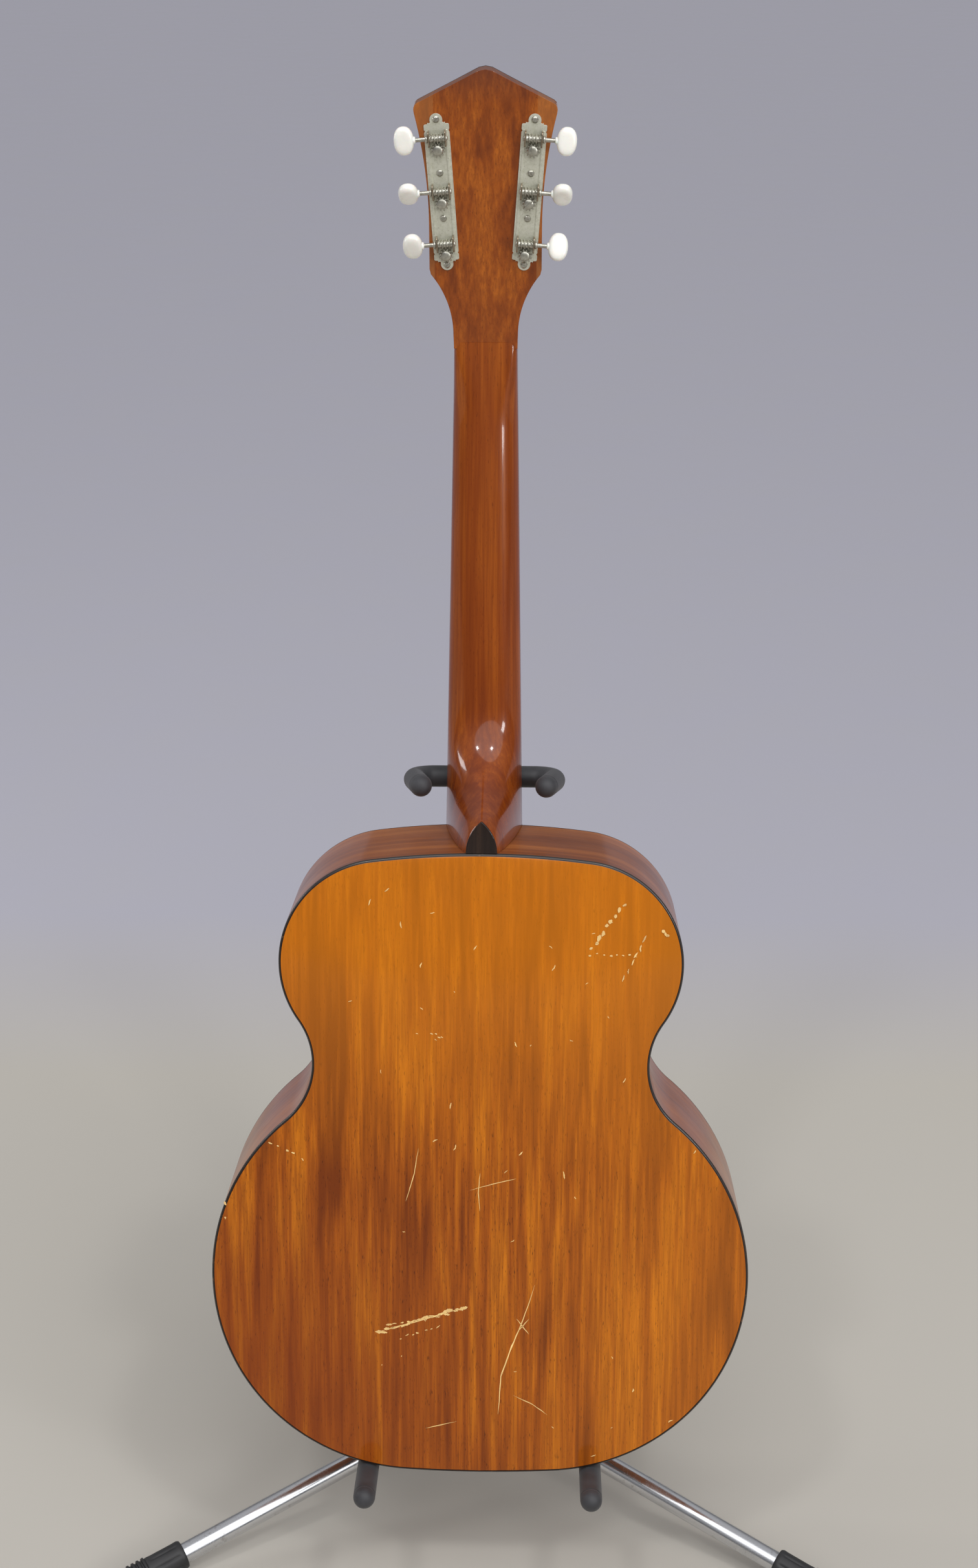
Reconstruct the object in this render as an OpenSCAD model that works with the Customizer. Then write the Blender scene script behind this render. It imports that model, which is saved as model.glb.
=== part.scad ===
// Flat-top steel-string acoustic guitar resting on a folding tripod stand.
// Millimetres. +Z is up, the guitar's back and the stand's cradle arms face -Y, the shaft stands at +Y.
// The guitar leans back by one angle, and its own frame has x across, y out of the soundboard, z up the neck.

/* [Placing] */
// Backward lean of the guitar and of the stand's shaft, in degrees
lean = 12.5; // [11:0.5:14]
// Height of the guitar's tail above the floor
tail_z = 90; // [90:1:94]
// Distance of the guitar's tail from the middle of the footprint, along Y
tail_y = -107.3; // [-110:0.1:-104]

/* [Guitar body] */
// Length of the sound box
body_len = 466; // [462:1:472]
// Depth of the sound box at the tail
tail_depth = 104; // [100:1:108]
// Depth of the sound box at the neck
neck_depth = 90; // [88:1:94]
// Thickness of the soundboard
top_t = 2.8; // [2.4:0.1:3.2]
// Thickness of the back panel
back_t = 3; // [2.6:0.1:3.4]
// Thickness of the bent ribs
rib_t = 3; // [2.8:0.1:3.4]
// Width of the edge binding
bind_w = 1.8; // [1.4:0.1:2]
// Height of the edge binding
bind_h = 2.2; // [2:0.1:3]
// Radius of the soundhole
hole_r = 49; // [46:0.5:50]
// Height of the soundhole's centre above the tail
hole_z = 325; // [323:1:326]

/* [Neck and head] */
// Vibrating length of the strings, nut to saddle
scale_len = 628; // [626:1:632]
// Width of the neck at the nut
nut_w = 44.2; // [43:0.2:45]
// Width of the neck where it meets the body
heel_w = 55.8; // [54:0.2:57]
// Thickness of the fretboard
board_t = 6; // [5.5:0.1:6.5]
// Backward pitch of the head, in degrees
head_pitch = 14; // [12:0.5:15]
// Thickness of the head's wood
head_t = 14; // [13.5:0.1:15]
// Length of the head from nut to tip
head_len = 186; // [184:1:188]

/* [Tuners] */
// Spacing of the tuner posts along each plate
post_gap = 35.2; // [35:0.1:36]
// Teeth on each tuner gear
teeth = 12; // [12:1:12]
// Distance from post axis to worm axis
worm_gap = 7.6; // [7.6:0.05:7.7]
// Running clearance of every turning shaft, on the radius
run_gap = 0.05; // [0.03:0.01:0.08]

/* [Stand] */
// Half spacing of the cradle arms
arm_x = 82; // [80:1:84]
// Reach of the cradle arms in front of the soundboard plane
arm_reach = 144; // [140:1:148]
// Radius of the soft sleeves on cradle and yoke
sleeve_r = 8; // [7.6:0.1:8.2]
// Distance of the shaft behind the soundboard plane
shaft_y = 45; // [44:1:50]
// Outer radius of the shaft tube
shaft_r = 11; // [10.8:0.1:12]
// Radius of the sliding inner tube
inner_r = 9.5; // [9.2:0.1:9.5]
// Height of the yoke bar above the tail
yoke_z = 497; // [494:1:500]
// Half spacing of the yoke's horns
yoke_x = 51.2; // [50:0.2:52]
// Reach of each leg from the shaft's foot
leg_reach = 298; // [294:1:302]
// Downward slope of the legs, in degrees
leg_slope = 11; // [10.8:0.1:11.2]
// Radius of the leg tubes
leg_r = 7.8; // [7.6:0.1:8]
// Radius of the rubber feet
foot_r = 12; // [11.8:0.1:12.4]

/* [Hidden] */
$fn = 64;
back_slope = atan((tail_depth - neck_depth) / body_len);
nut_z = body_len + scale_len * (1 - pow(2, -14 / 12));
saddle_z = nut_z - scale_len;
contact_gap = 0.3;

// Outline of the sound box: five tangent arcs each side, angles from -Z round to +Z.
end_r = 890;
end_a = 3.5;
tail_r = 148;
tail_a = 68.8;
flank_r = 155.5;
flank_a = 139.5;
waist_r = 55.4;
waist_a = 55.6;
bout_r = 75.3;

function dir(a) = [sin(a), -cos(a)];
c_end = [0, end_r];
c_tail = c_end + (end_r - tail_r) * dir(end_a);
c_flank = c_tail + (tail_r - flank_r) * dir(tail_a);
c_waist = c_flank + (flank_r + waist_r) * dir(flank_a);
c_bout = c_waist - (waist_r + bout_r) * dir(waist_a);
bout_q = c_bout[1] - body_len;
top_r = (bout_r * bout_r - c_bout[0] * c_bout[0] - bout_q * bout_q) / (2 * (bout_q + bout_r));
c_top = [0, body_len - top_r];
bout_a = atan2(c_bout[0] - c_top[0], -(c_bout[1] - c_top[1]));

// Points along one arc, leaving out its first point.
function arc(c, r, a0, a1, n) = [for (i = [1:n]) c + r * dir(a0 + (a1 - a0) * i / n)];
// Right-hand side of the outline, moved in by t, from the tail to the neck.
function side(t) = concat(
    [[0, t]],
    arc(c_end, end_r - t, 0, end_a, 2),
    arc(c_tail, tail_r - t, end_a, tail_a, 16),
    arc(c_flank, flank_r - t, tail_a, flank_a, 18),
    arc(c_waist, -waist_r - t, flank_a, waist_a, 16),
    arc(c_bout, bout_r - t, waist_a, bout_a, 24),
    arc(c_top, top_r - t, bout_a, 180, 3));
// The whole outline as one closed loop of points.
function loop_of(half) = concat(half, [for (i = [len(half) - 2:-1:1]) [-half[i][0], half[i][1]]]);

// ---------- shared frames and helpers ----------

// Moves children from the guitar's frame to the row frame.
module in_guitar() {
    translate([0, tail_y, tail_z]) rotate([-lean, 0, 0]) children();
}

// Moves children from the head's frame to the guitar's: z along the head, y out of its front face.
module in_head() {
    translate([0, 0, nut_z]) rotate([head_pitch, 0, 0]) children();
}

// Stands a flat shape up in the guitar's frame: its front face at y = front, t thick toward the back.
module sheet_at(front, t) {
    translate([0, front, 0]) rotate([90, 0, 0]) linear_extrude(t) children();
}

// The same in the frame of the sloping back: depth counts inward from the outer back face.
module back_sheet(depth, t) {
    translate([0, -tail_depth, 0]) rotate([-back_slope, 0, 0]) sheet_at(depth + t, t) children();
}

// Sound box outline moved in by t.
module outline(t) {
    polygon(loop_of(side(t)));
}

// Band between the outline moved in by a and by b.
module outline_band(a, b) {
    difference() {
        outline(a);
        outline(b);
    }
}

// Everything between the soundboard and the back panel, as one thick slab.
module between_plates() {
    difference() {
        sheet_at(-top_t, tail_depth) square([2 * body_len, 2 * body_len], center = true);
        back_sheet(-tail_depth, tail_depth + back_t) square([3 * body_len, 3 * body_len], center = true);
    }
}

// Round bar from point a to point b.
module bar(a, b, r) {
    d = b - a;
    l = norm(d);
    translate(a) rotate([0, acos(d[2] / l), atan2(d[1], d[0])]) cylinder(h = l, r = r);
}

// ---------- sound box ----------

module soundboard() {
    color("#d9a860") in_guitar() difference() {
        sheet_at(0, top_t) outline(bind_w);
        sheet_at(1, top_t + 2) translate([0, hole_z]) circle(hole_r);
        sheet_at(1, 2) translate([0, hole_z]) rosette_ring();
        for (i = [0:5]) pin_at(i) cylinder(h = 30, r = pin_r, center = true);
    }
}

module rosette_ring() {
    difference() {
        circle(hole_r + 11);
        circle(hole_r + 5);
    }
}

module rosette() {
    color("#2c2119") in_guitar() sheet_at(0, 1) translate([0, hole_z]) rosette_ring();
}

module back_panel() {
    color("#b9722f") in_guitar() back_sheet(0, back_t) outline(bind_w);
}

module ribs() {
    color("#7d4426") in_guitar() difference() {
        intersection() {
            sheet_at(0, tail_depth) outline_band(0, rib_t);
            between_plates();
        }
        sheet_at(1, bind_h + 1) outline_band(-2, bind_w);
        back_sheet(-1, bind_h + 1) outline_band(-2, bind_w);
        tenon(0);
        end_pin_shank();
    }
}

module binding() {
    color("#1b1412") in_guitar() {
        sheet_at(0, bind_h) outline_band(0, bind_w);
        back_sheet(0, bind_h) outline_band(0, bind_w);
    }
}

lining_w = 6;
lining_h = 14;
inner_t = rib_t + 0.3;

module linings() {
    color("#c9a877") in_guitar() difference() {
        union() {
            sheet_at(-top_t, lining_h) outline_band(inner_t, inner_t + lining_w);
            intersection() {
                back_sheet(back_t, lining_h) outline_band(inner_t - 1, inner_t + lining_w);
                sheet_at(0, tail_depth + 5) outline(inner_t);
            }
        }
        block_space(0.1);
    }
}

neck_block_w = 70;
neck_block_h = 44;
tail_block_w = 70;
tail_block_h = 22;

module block_space(gap) {
    translate([-neck_block_w / 2 - gap, -tail_depth, body_len - neck_block_h - gap])
        cube([neck_block_w + 2 * gap, tail_depth, neck_block_h + 20]);
    translate([-tail_block_w / 2 - gap, -tail_depth, -10])
        cube([tail_block_w + 2 * gap, tail_depth, tail_block_h + 10 + gap]);
}

module end_blocks() {
    color("#8a5631") in_guitar() difference() {
        intersection() {
            block_space(0);
            between_plates();
            sheet_at(0, tail_depth) outline(inner_t);
        }
        tenon(0);
        end_pin_shank();
    }
}

// One straight brace on the inside of the soundboard, centred at [x, z] and turned by a.
module top_brace(x, z, a, l, w, h) {
    translate([x, -top_t - h, z]) rotate([0, a, 0]) translate([-l / 2, 0, -w / 2]) cube([l, h, w]);
}

module soundboard_braces() {
    color("#d8bd8a") in_guitar() intersection() {
        union() {
            for (s = [-1, 1]) {
                top_brace(0, 262, s * 49, 420, 8, 14);
                top_brace(s * 118, 150, s * -60, 90, 6, 9);
                top_brace(s * 82, hole_z - 4, s * 84, 70, 6, 8);
            }
            top_brace(0, 392, 0, 300, 12, 13);
            top_brace(-16, 128, 28, 200, 7, 11);
            top_brace(-6, 84, 28, 190, 7, 11);
            difference() {
                top_brace(0, saddle_z - 8, 0, 150, 34, 2.4);
                for (i = [0:5]) pin_at(i) cylinder(h = 30, r = pin_r, center = true);
            }
        }
        difference() {
            sheet_at(0, 30) outline(inner_t + lining_w + 0.3);
            sheet_at(1, 40) translate([0, hole_z]) circle(hole_r + 2);
            block_space(0.5);
            for (i = [0:5]) pin_at(i) cylinder(h = 60, r = pin_r, center = true);
        }
    }
}

module back_braces() {
    color("#d8bd8a") in_guitar() intersection() {
        back_sheet(back_t, 15) outline(inner_t + lining_w + 0.3);
        for (z = [70, 165, 275, 385]) {
            translate([-220, -tail_depth, z]) cube([440, 40, 9]);
        }
    }
}

// ---------- neck and head ----------

tenon_w = 23;
tenon_h = 14;
tenon_d = 71;
tenon_top = 9;

module tenon(extra) {
    translate([-tenon_w / 2, -tenon_top - tenon_d, body_len - tenon_h])
        cube([tenon_w, tenon_d, tenon_h + 1 + extra]);
}

heel_d = neck_depth - 2.5;
cap_w = 22;
cap_len = 23;
heel_run = 78;
neck_d0 = 17.5;
neck_d1 = 14.6;

// Smooth 0 to 1 step.
function ease(t) = let (u = min(1, max(0, t))) u * u * (3 - 2 * u);
function mix(a, b, t) = a + (b - a) * t;
// Half width of the neck at height z.
function neck_half(z) = mix(heel_w, nut_w, (z - body_len) / (nut_z - body_len)) / 2;
// Depth of plain neck below the fretboard plane at height z.
function plain_d(z) = mix(neck_d0, neck_d1, (z - body_len) / (nut_z - body_len));
// Depth with the heel's sweep added: full over the cap, then a concave run down to the plain neck.
function neck_d(z) = mix(plain_d(z), heel_d, sweep_of(z));
function sweep_of(z) = z < body_len + cap_len ? 1
    : pow(1 - min(1, (z - body_len - cap_len) / heel_run), 3.4);
// Half width left flat at the bottom: the pointed arch of the heel cap.
function flat_half(z) = let (h = z - body_len, r = (cap_w * cap_w / 4 + cap_len * cap_len) / cap_w)
    h >= cap_len ? 0 : sqrt(r * r - h * h) - r + cap_w / 2;
// Fullness of the section: 1 is a round back, 2 a straight V, under 1 is squarer.
function fullness(z) = z < nut_z - 60 ? mix(1, 1.55, ease(sweep_of(z) * 1.6))
    : mix(1, 0.3, ease((z - nut_z + 60) / 58));

sec_n = 9;
// Channel for the truss rod, open under the fretboard.
rod_slot = 6.2;
rod_slot_d = 8;
function section(z) = let (w = neck_half(z), d = neck_d(z), b = max(0.4, flat_half(z)), e = fullness(z))
    concat(
        [[rod_slot / 2, -rod_slot_d, z], [rod_slot / 2, 0, z]],
        [for (i = [0:sec_n]) let (t = 90 * i / sec_n)
            [b + (w - b) * pow(cos(t), e), -d * pow(sin(t), e), z]],
        [for (i = [sec_n:-1:0]) let (t = 90 * i / sec_n)
            [-b - (w - b) * pow(cos(t), e), -d * pow(sin(t), e), z]],
        [[-rod_slot / 2, 0, z], [-rod_slot / 2, -rod_slot_d, z]]);

neck_levels = concat(
    [for (i = [0:5]) body_len + cap_len * i / 5],
    [for (i = [1:12]) body_len + cap_len + heel_run * i / 12],
    [for (i = [1:4]) mix(body_len + cap_len + heel_run, nut_z - 60, i / 4)],
    [for (i = [1:8]) mix(nut_z - 60, nut_z - 1, i / 8)]);

// Solid through equal sections: side quads cut in triangles, flat ends.
module loft(levels) {
    n = 2 * sec_n + 6;
    m = len(levels);
    pts = [for (z = levels) each section(z)];
    sides = [for (k = [0:m - 2]) for (i = [0:n - 1]) let (j = (i + 1) % n)
        each [[k * n + i, (k + 1) * n + j, (k + 1) * n + i], [k * n + i, k * n + j, (k + 1) * n + j]]];
    polyhedron(pts, concat(sides, [[for (i = [n - 1:-1:0]) i], [for (i = [0:n - 1]) (m - 1) * n + i]]));
}

// Head outline, right-hand half from the nut to the tip.
sweep_r = 65.7;
sweep_z = 8;
waist_x = 38.4;
side_r = 296;
side_z = 84;
crown_x = 47.9;
crown_z = head_len - 23.5;
function sweep_x(z) = nut_w / 2 + 0.3 + sweep_r - sqrt(sweep_r * sweep_r - pow(z - sweep_z, 2));
function side_x(z) = waist_x + side_r - sqrt(side_r * side_r - pow(z - side_z, 2));
head_half = concat(
    [[0, -2], [nut_w / 2, -2], [nut_w / 2 + 0.1, 3]],
    [for (i = [0:9]) let (z = sweep_z + 42 * i / 9) [sweep_x(z), z]],
    [[waist_x - 0.5, 51.6], [waist_x, 53.5]],
    [for (i = [0:8]) let (z = side_z + (crown_z - 5 - side_z) * i / 8) [side_x(z), z]],
    [[crown_x, crown_z - 2], [crown_x - 0.5, crown_z], [crown_x - 2.2, crown_z + 1.6]],
    [[15, head_len - 6.3], [9, head_len - 3.2], [4.5, head_len - 0.9], [0, head_len]]);

module head_shape() {
    polygon(loop_of(head_half));
}

module neck() {
    color("#6d3019") in_guitar() {
        loft(neck_levels);
        tenon(0.5);
        in_head() difference() {
            sheet_at(0, head_t) head_shape();
            each_post() post_axis(-head_t - 1, head_t + 2) circle(bush_r);
            each_screw() post_axis(-head_t - 1, 10) circle(screw_r);
            rotate([-head_pitch, 0, 0]) translate([-60, 0, -20]) cube([120, 10, 20.3]);
        }
    }
}

module heel_cap() {
    r = (cap_w * cap_w / 4 + cap_len * cap_len) / cap_w;
    color("#17110f") in_guitar() sheet_at(-heel_d - 0.02, 2.46)
        translate([0, body_len + 0.05]) polygon(concat(
            [for (i = [0:8]) let (h = cap_len * i / 8) [sqrt(r * r - h * h) - r + cap_w / 2, h]],
            [for (i = [7:-1:0]) let (h = cap_len * i / 8) [r - cap_w / 2 - sqrt(r * r - h * h), h]]));
}

module head_veneer() {
    color("#241512") in_guitar() in_head() difference() {
        sheet_at(veneer_t, veneer_t) intersection() {
            head_shape();
            translate([-60, nut_len + 0.6]) square([120, 220]);
        }
        each_post() post_axis(-1, 4) circle(bush_r);
    }
}

module truss_rod() {
    color("#8d9094") in_guitar() translate([0, -4, body_len + 2]) cylinder(h = nut_z - body_len - 6, r = 2.7);
}

// ---------- fretboard, frets, nut, strings ----------

board_end = saddle_z + scale_len * pow(2, -20 / 12) - 5;
function board_half(z) = neck_half(z);
function fret_z(n) = saddle_z + scale_len * pow(2, -n / 12);
dot_frets = [3, 5, 7, 9, 15, 17];
function dot_z(n) = (fret_z(n) + fret_z(n - 1)) / 2;

module dot_places() {
    for (n = dot_frets) translate([0, dot_z(n)]) circle(3);
    for (s = [-1, 1]) translate([s * 11, dot_z(12)]) circle(3);
}

module fretboard() {
    color("#2b1c16") in_guitar() difference() {
        sheet_at(board_t, board_t - 0.02) polygon([
            [-board_half(board_end), board_end], [board_half(board_end), board_end],
            [board_half(nut_z), nut_z], [-board_half(nut_z), nut_z]]);
        sheet_at(board_t + 1, 2) dot_places();
        for (n = [1:20]) translate([-40, board_t - 1.8, fret_z(n) - 0.3]) cube([80, 3, 0.6]);
    }
}

module fret_dots() {
    color("#e9e4d6") in_guitar() sheet_at(board_t, 1) dot_places();
}

module frets() {
    color("#b9b6a8") in_guitar() for (n = [1:20]) {
        w = 2 * board_half(fret_z(n)) - 0.6;
        translate([-w / 2, board_t, fret_z(n)]) rotate([0, 90, 0]) rotate([0, 0, 90]) linear_extrude(w) union() {
            intersection() {
                circle(1.1);
                translate([0, -2]) square([2, 4]);
            }
            translate([-1.7, -0.28]) square([1.8, 0.56]);
        }
    }
}

nut_len = 5;
nut_top = 8.3;
saddle_top = 11.2;
veneer_t = 1.8;

module nut() {
    color("#e6dfc8") in_guitar() difference() {
        translate([-nut_w / 2, 0, nut_z + 0.05]) cube([nut_w, nut_top + 0.6, nut_len]);
        for (i = [0:5]) bar(string_a(i), string_post(i), string_r(i) + 0.05);
    }
}

// Strings run from string 0, the thinnest, at -x to string 5 at +x.
function string_r(i) = 0.16 + 0.09 * i + 0.005 * i * i;
function nut_x(i) = (i - 2.5) * 7.2;
function bridge_x(i) = (i - 2.5) * 10.6;
function string_a(i) = [nut_x(i), nut_top + string_r(i), nut_z];
function string_b(i) = [bridge_x(i), saddle_top + string_r(i), saddle_z];
function string_pin(i) = [bridge_x(i), 6.5, saddle_z - 13];

module strings() {
    color("#b08d57") in_guitar() for (i = [0:5]) {
        bar(string_b(i), string_a(i), string_r(i));
        translate(string_b(i)) sphere(string_r(i) * 1.05);
        bar(string_b(i), string_pin(i), string_r(i));
        translate(string_a(i)) sphere(string_r(i) * 1.05);
        bar(string_a(i), string_post(i), string_r(i));
    }
}

pin_r = 2.4;
pin_z = saddle_z - 16;

module pin_at(i) {
    translate([bridge_x(i), 0, pin_z]) rotate([-90, 0, 0]) children();
}

bridge_t = 8.6;

module bridge() {
    color("#20140f") in_guitar() difference() {
        sheet_at(bridge_t, bridge_t - 0.02) polygon([
            [-78, saddle_z - 22], [-40, saddle_z - 24], [40, saddle_z - 24], [78, saddle_z - 22],
            [78, saddle_z], [44, saddle_z + 8], [-44, saddle_z + 8], [-78, saddle_z]]);
        saddle_slot();
        for (i = [0:5]) pin_at(i) cylinder(h = 30, r = pin_r, center = true);
        for (s = [-1, 1]) translate([s * 44, bridge_t - 4, saddle_z - 40])
            translate([s > 0 ? 0 : -60, 0, 0]) cube([60, 10, 80]);
        for (i = [0:5]) bar(string_b(i), string_pin(i), string_r(i) + 0.1);
    }
}

module saddle_slot() {
    translate([-36, 3, saddle_z - 1.5]) cube([72, 20, 3]);
}

module saddle() {
    color("#e6dfc8") in_guitar() difference() {
        translate([-36, 3, saddle_z - 1.5]) cube([72, saddle_top - 3 + 0.2, 3]);
        for (i = [0:5]) {
            bar(string_b(i), string_a(i), string_r(i) + 0.06);
            bar(string_b(i), string_pin(i), string_r(i) + 0.06);
            translate(string_b(i)) sphere(string_r(i) * 1.05 + 0.06);
        }
    }
}

module bridge_pins() {
    color("#ece6d4") in_guitar() difference() {
        for (i = [0:5]) pin_at(i) union() {
            translate([0, 0, -10]) cylinder(h = 10 + bridge_t, r = pin_r);
            translate([0, 0, bridge_t]) cylinder(h = 1.2, r = 3.6);
            translate([0, 0, bridge_t + 1.2]) intersection() {
                translate([0, 0, -2.6]) sphere(4.4);
                cylinder(h = 4, r = 4);
            }
        }
        for (i = [0:5]) bar(string_b(i), string_pin(i), string_r(i) + 0.1);
    }
}

module end_pin_shank() {
    translate([0, -tail_depth / 2, -1]) cylinder(h = 24, r = 4);
}

strap_head_r = 5.2;

module end_pin() {
    color("#ece6d4") in_guitar() {
        translate([0, -tail_depth / 2, 0]) {
            cylinder(h = 22, r = 4);
            translate([0, 0, -2]) cylinder(h = 2, r = 7);
            translate([0, 0, -7]) cylinder(h = 5.2, r = 3.6);
            translate([0, 0, -10.2]) cylinder(h = 3.2, r = strap_head_r);
        }
    }
}

module pickguard() {
    color("#3a1d12") in_guitar() sheet_at(0.82, 0.8) difference() {
        union() {
            intersection() {
                translate([-58, 286]) circle(62);
                translate([-150, 205]) square([118, 140]);
            }
            intersection() {
                translate([-86, 262]) circle(40);
                translate([-150, 205]) square([118, 60]);
            }
        }
        translate([0, hole_z]) circle(hole_r + 13);
        translate([-32, 0]) square([80, 600]);
    }
}

// ---------- tuners ----------

// Tuners 1 to 3 are on the -x side from the tip down, 4 to 6 on the +x side.
plate_tilt = 4;
mid_x = 29.2;
mid_z = 99.3;
plate_t = 1;
gear_w = 2.4;
post_r = 3;
bush_r = 4.2;
screw_r = 1.1;
// Depths along the head's y: plate on the back face, gear and worm centred on one plane behind it.
plate_y = -head_t - plate_t;
gear_y = plate_y - 3.7;
pitch_r = 4.45;
gear_tip = 4.95;
gear_root = 3.7;
thread_tip = 3.45;
worm_r = 2.35;
core_r = 1.6;
button_turns = [0, 42, 25, -6, 40, -24];

// Places children at a point of one plate: side s, distance l up the plate's line from the middle post.
module on_plate(s, l) {
    translate([s * mid_x, 0, mid_z]) mirror([s < 0 ? 1 : 0, 0, 0]) rotate([0, plate_tilt, 0])
        translate([0, 0, l]) children();
}

function tuner_side(n) = n <= 3 ? -1 : 1;
function tuner_l(n) = post_gap * (n <= 3 ? 2 - n : 5 - n);
function post_x(n) = tuner_side(n) * (mid_x + tuner_l(n) * sin(plate_tilt));
function post_z(n) = mid_z + tuner_l(n) * cos(plate_tilt);

module at_tuner(n) {
    in_guitar() in_head() on_plate(tuner_side(n), tuner_l(n)) children();
}

// A round shape standing along the head's y, from y0, h long.
module post_axis(y0, h) {
    translate([0, y0 + h, 0]) rotate([90, 0, 0]) linear_extrude(h) children();
}

module each_post() {
    for (s = [-1, 1]) for (k = [-1:1]) on_plate(s, k * post_gap) children();
}

plate_mid = 6.2;
plate_l = 91;
plate_w = 17;
ear = 6.9;
lobe_r = 4.3;
screw_places = [plate_mid + 48.6, 19.5, -10.8, plate_mid - 48.6];

module each_screw() {
    for (s = [-1, 1]) for (l = screw_places) on_plate(s, l) children();
}

module plate_shape() {
    square([plate_w, plate_l], center = true);
    for (e = [-1, 1]) rotate([0, 0, e < 0 ? 180 : 0]) translate([0, plate_l / 2]) {
        translate([0, ear - lobe_r]) circle(lobe_r);
        translate([-6, -1]) square([12, 2.2]);
    }
}

module tab() {
    difference() {
        translate([-0.5, gear_y - 3.6, -5.2]) cube([1, plate_y - gear_y + 4.1, 10.4]);
        translate([0, gear_y, 0]) rotate([0, 90, 0]) cylinder(h = 4, r = core_r + run_gap, center = true);
    }
}

module tuner_plates() {
    color("#96968a") in_guitar() in_head() for (s = [-1, 1]) {
        difference() {
            on_plate(s, plate_mid) union() {
                sheet_at(-head_t, plate_t) plate_shape();
                for (e = [-1, 1]) translate([e * 6.3 - 1.15, plate_y - 0.5, -plate_l / 2 + 2])
                    cube([2.3, 0.7, plate_l - 4]);
            }
            each_post() post_axis(plate_y - 2, 4) circle(post_r + run_gap);
            each_screw() post_axis(plate_y - 2, 4) circle(screw_r);
        }
        for (k = [-1:1]) on_plate(s, k * post_gap + worm_gap) for (e = [-1, 1])
            translate([e * 5.6, 0, 0]) tab();
    }
}

module plate_screws() {
    color("#a7a79b") in_guitar() in_head() each_screw() difference() {
        union() {
            post_axis(-head_t - plate_t, 9) circle(screw_r);
            intersection() {
                post_axis(plate_y - 1.3, 1.3) circle(2.3);
                translate([0, plate_y + 1.2, 0]) sphere(2.9);
            }
        }
        rotate([0, 35, 0]) translate([-3, plate_y - 2, -0.3]) cube([6, 1.2, 0.6]);
    }
}

module post_bushings() {
    color("#b9b6a8") in_guitar() in_head() each_post() {
        post_axis(-4, 4 + veneer_t) difference() {
            circle(bush_r);
            circle(post_r + run_gap);
        }
        post_axis(veneer_t, 1.2) difference() {
            circle(5.6);
            circle(post_r + run_gap);
        }
    }
}

// Gear outline with a tooth gap pointing along +z.
module gear_shape() {
    step = 360 / teeth;
    polygon([for (i = [0:teeth - 1]) each [
        for (c = [[gear_root, -0.58], [gear_tip, -0.27], [gear_tip, 0.27], [gear_root, 0.58]])
            let (a = (i + 0.5) * step) [c[0] * sin(a) + c[1] * cos(a), c[0] * cos(a) - c[1] * sin(a)]]]);
}

// Turning post: gear, collar, slotted head behind the plate; string winding in front.
module tuner_post(n) {
    color("#8f8f82") at_tuner(n) difference() {
        union() {
            post_axis(plate_y - 0.1, 21 + head_t + plate_t) circle(post_r);
            post_axis(gear_y + gear_w / 2, plate_y - gear_y - gear_w / 2 - 0.1) circle(3.3);
            post_axis(gear_y - gear_w / 2, gear_w) gear_shape();
            post_axis(gear_y - gear_w / 2 - 1.5, 1.5) circle(3.1);
            for (k = [0:3]) translate([0, wind_y + k * 1.3, 0]) rotate([90, 0, 0])
                rotate_extrude() translate([post_r + 0.45, 0]) circle(0.55, $fn = 16);
        }
        rotate([0, 50 + 37 * n, 0]) translate([-4, gear_y - gear_w / 2 - 3, -0.4]) cube([8, 2.3, 0.8]);
        translate([0, wind_y + 6, 0]) cylinder(h = 20, r = 0.9, center = true);
    }
}

wind_y = 8;
// Where string i ends, just short of its post's winding.
function post_of(i) = i == 0 ? 3 : i == 1 ? 2 : i == 2 ? 1 : i == 3 ? 4 : i == 4 ? 5 : 6;
function head_to_guitar(p) = [p[0], p[1] * cos(head_pitch) - p[2] * sin(head_pitch),
    nut_z + p[1] * sin(head_pitch) + p[2] * cos(head_pitch)];
function string_post(i) = let (n = post_of(i), s = tuner_side(n))
    head_to_guitar([post_x(n) - s * (post_r + 1.4 + string_r(i)), wind_y + 2, post_z(n) - 1]);

thread_pitch = 2 * PI * pitch_r / teeth;
thread_half = 4.3;
turn_n = 20;

// Helical thread along x, crest at x = 0 where it faces -z, with tapered flanks.
module thread() {
    k_max = ceil(2 * thread_half / thread_pitch * turn_n);
    prof = [[worm_r - 0.3, -0.55], [thread_tip, -0.22], [thread_tip, 0.22], [worm_r - 0.3, 0.55]];
    pts = [for (k = [0:k_max]) for (c = prof)
        let (f = (k - k_max / 2) / turn_n, a = 360 * f)
            [f * thread_pitch + c[1], c[0] * sin(a), -c[0] * cos(a)]];
    quads = [for (k = [0:k_max - 1]) for (i = [0:3]) let (j = (i + 1) % 4)
        each [[k * 4 + i, k * 4 + j, (k + 1) * 4 + j], [k * 4 + i, (k + 1) * 4 + j, (k + 1) * 4 + i]]];
    polyhedron(pts, concat(quads, [[3, 2, 1, 0], [for (i = [0:3]) k_max * 4 + i]]));
}

module tuner_worm(n) {
    color("#8f8f82") at_tuner(n) translate([0, gear_y, worm_gap]) {
        translate([-6.4, 0, 0]) rotate([0, 90, 0]) cylinder(h = 6.4 + 24, r = core_r);
        translate([-4.8, 0, 0]) rotate([0, 90, 0]) cylinder(h = 9.6, r = worm_r);
        thread();
        translate([6.2, 0, 0]) rotate([0, 90, 0]) cylinder(h = 1.6, r = 2.4);
    }
}

button_in = 15.4;
button_l = 13.6;
button_h = 19;
button_t = 7.4;

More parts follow.
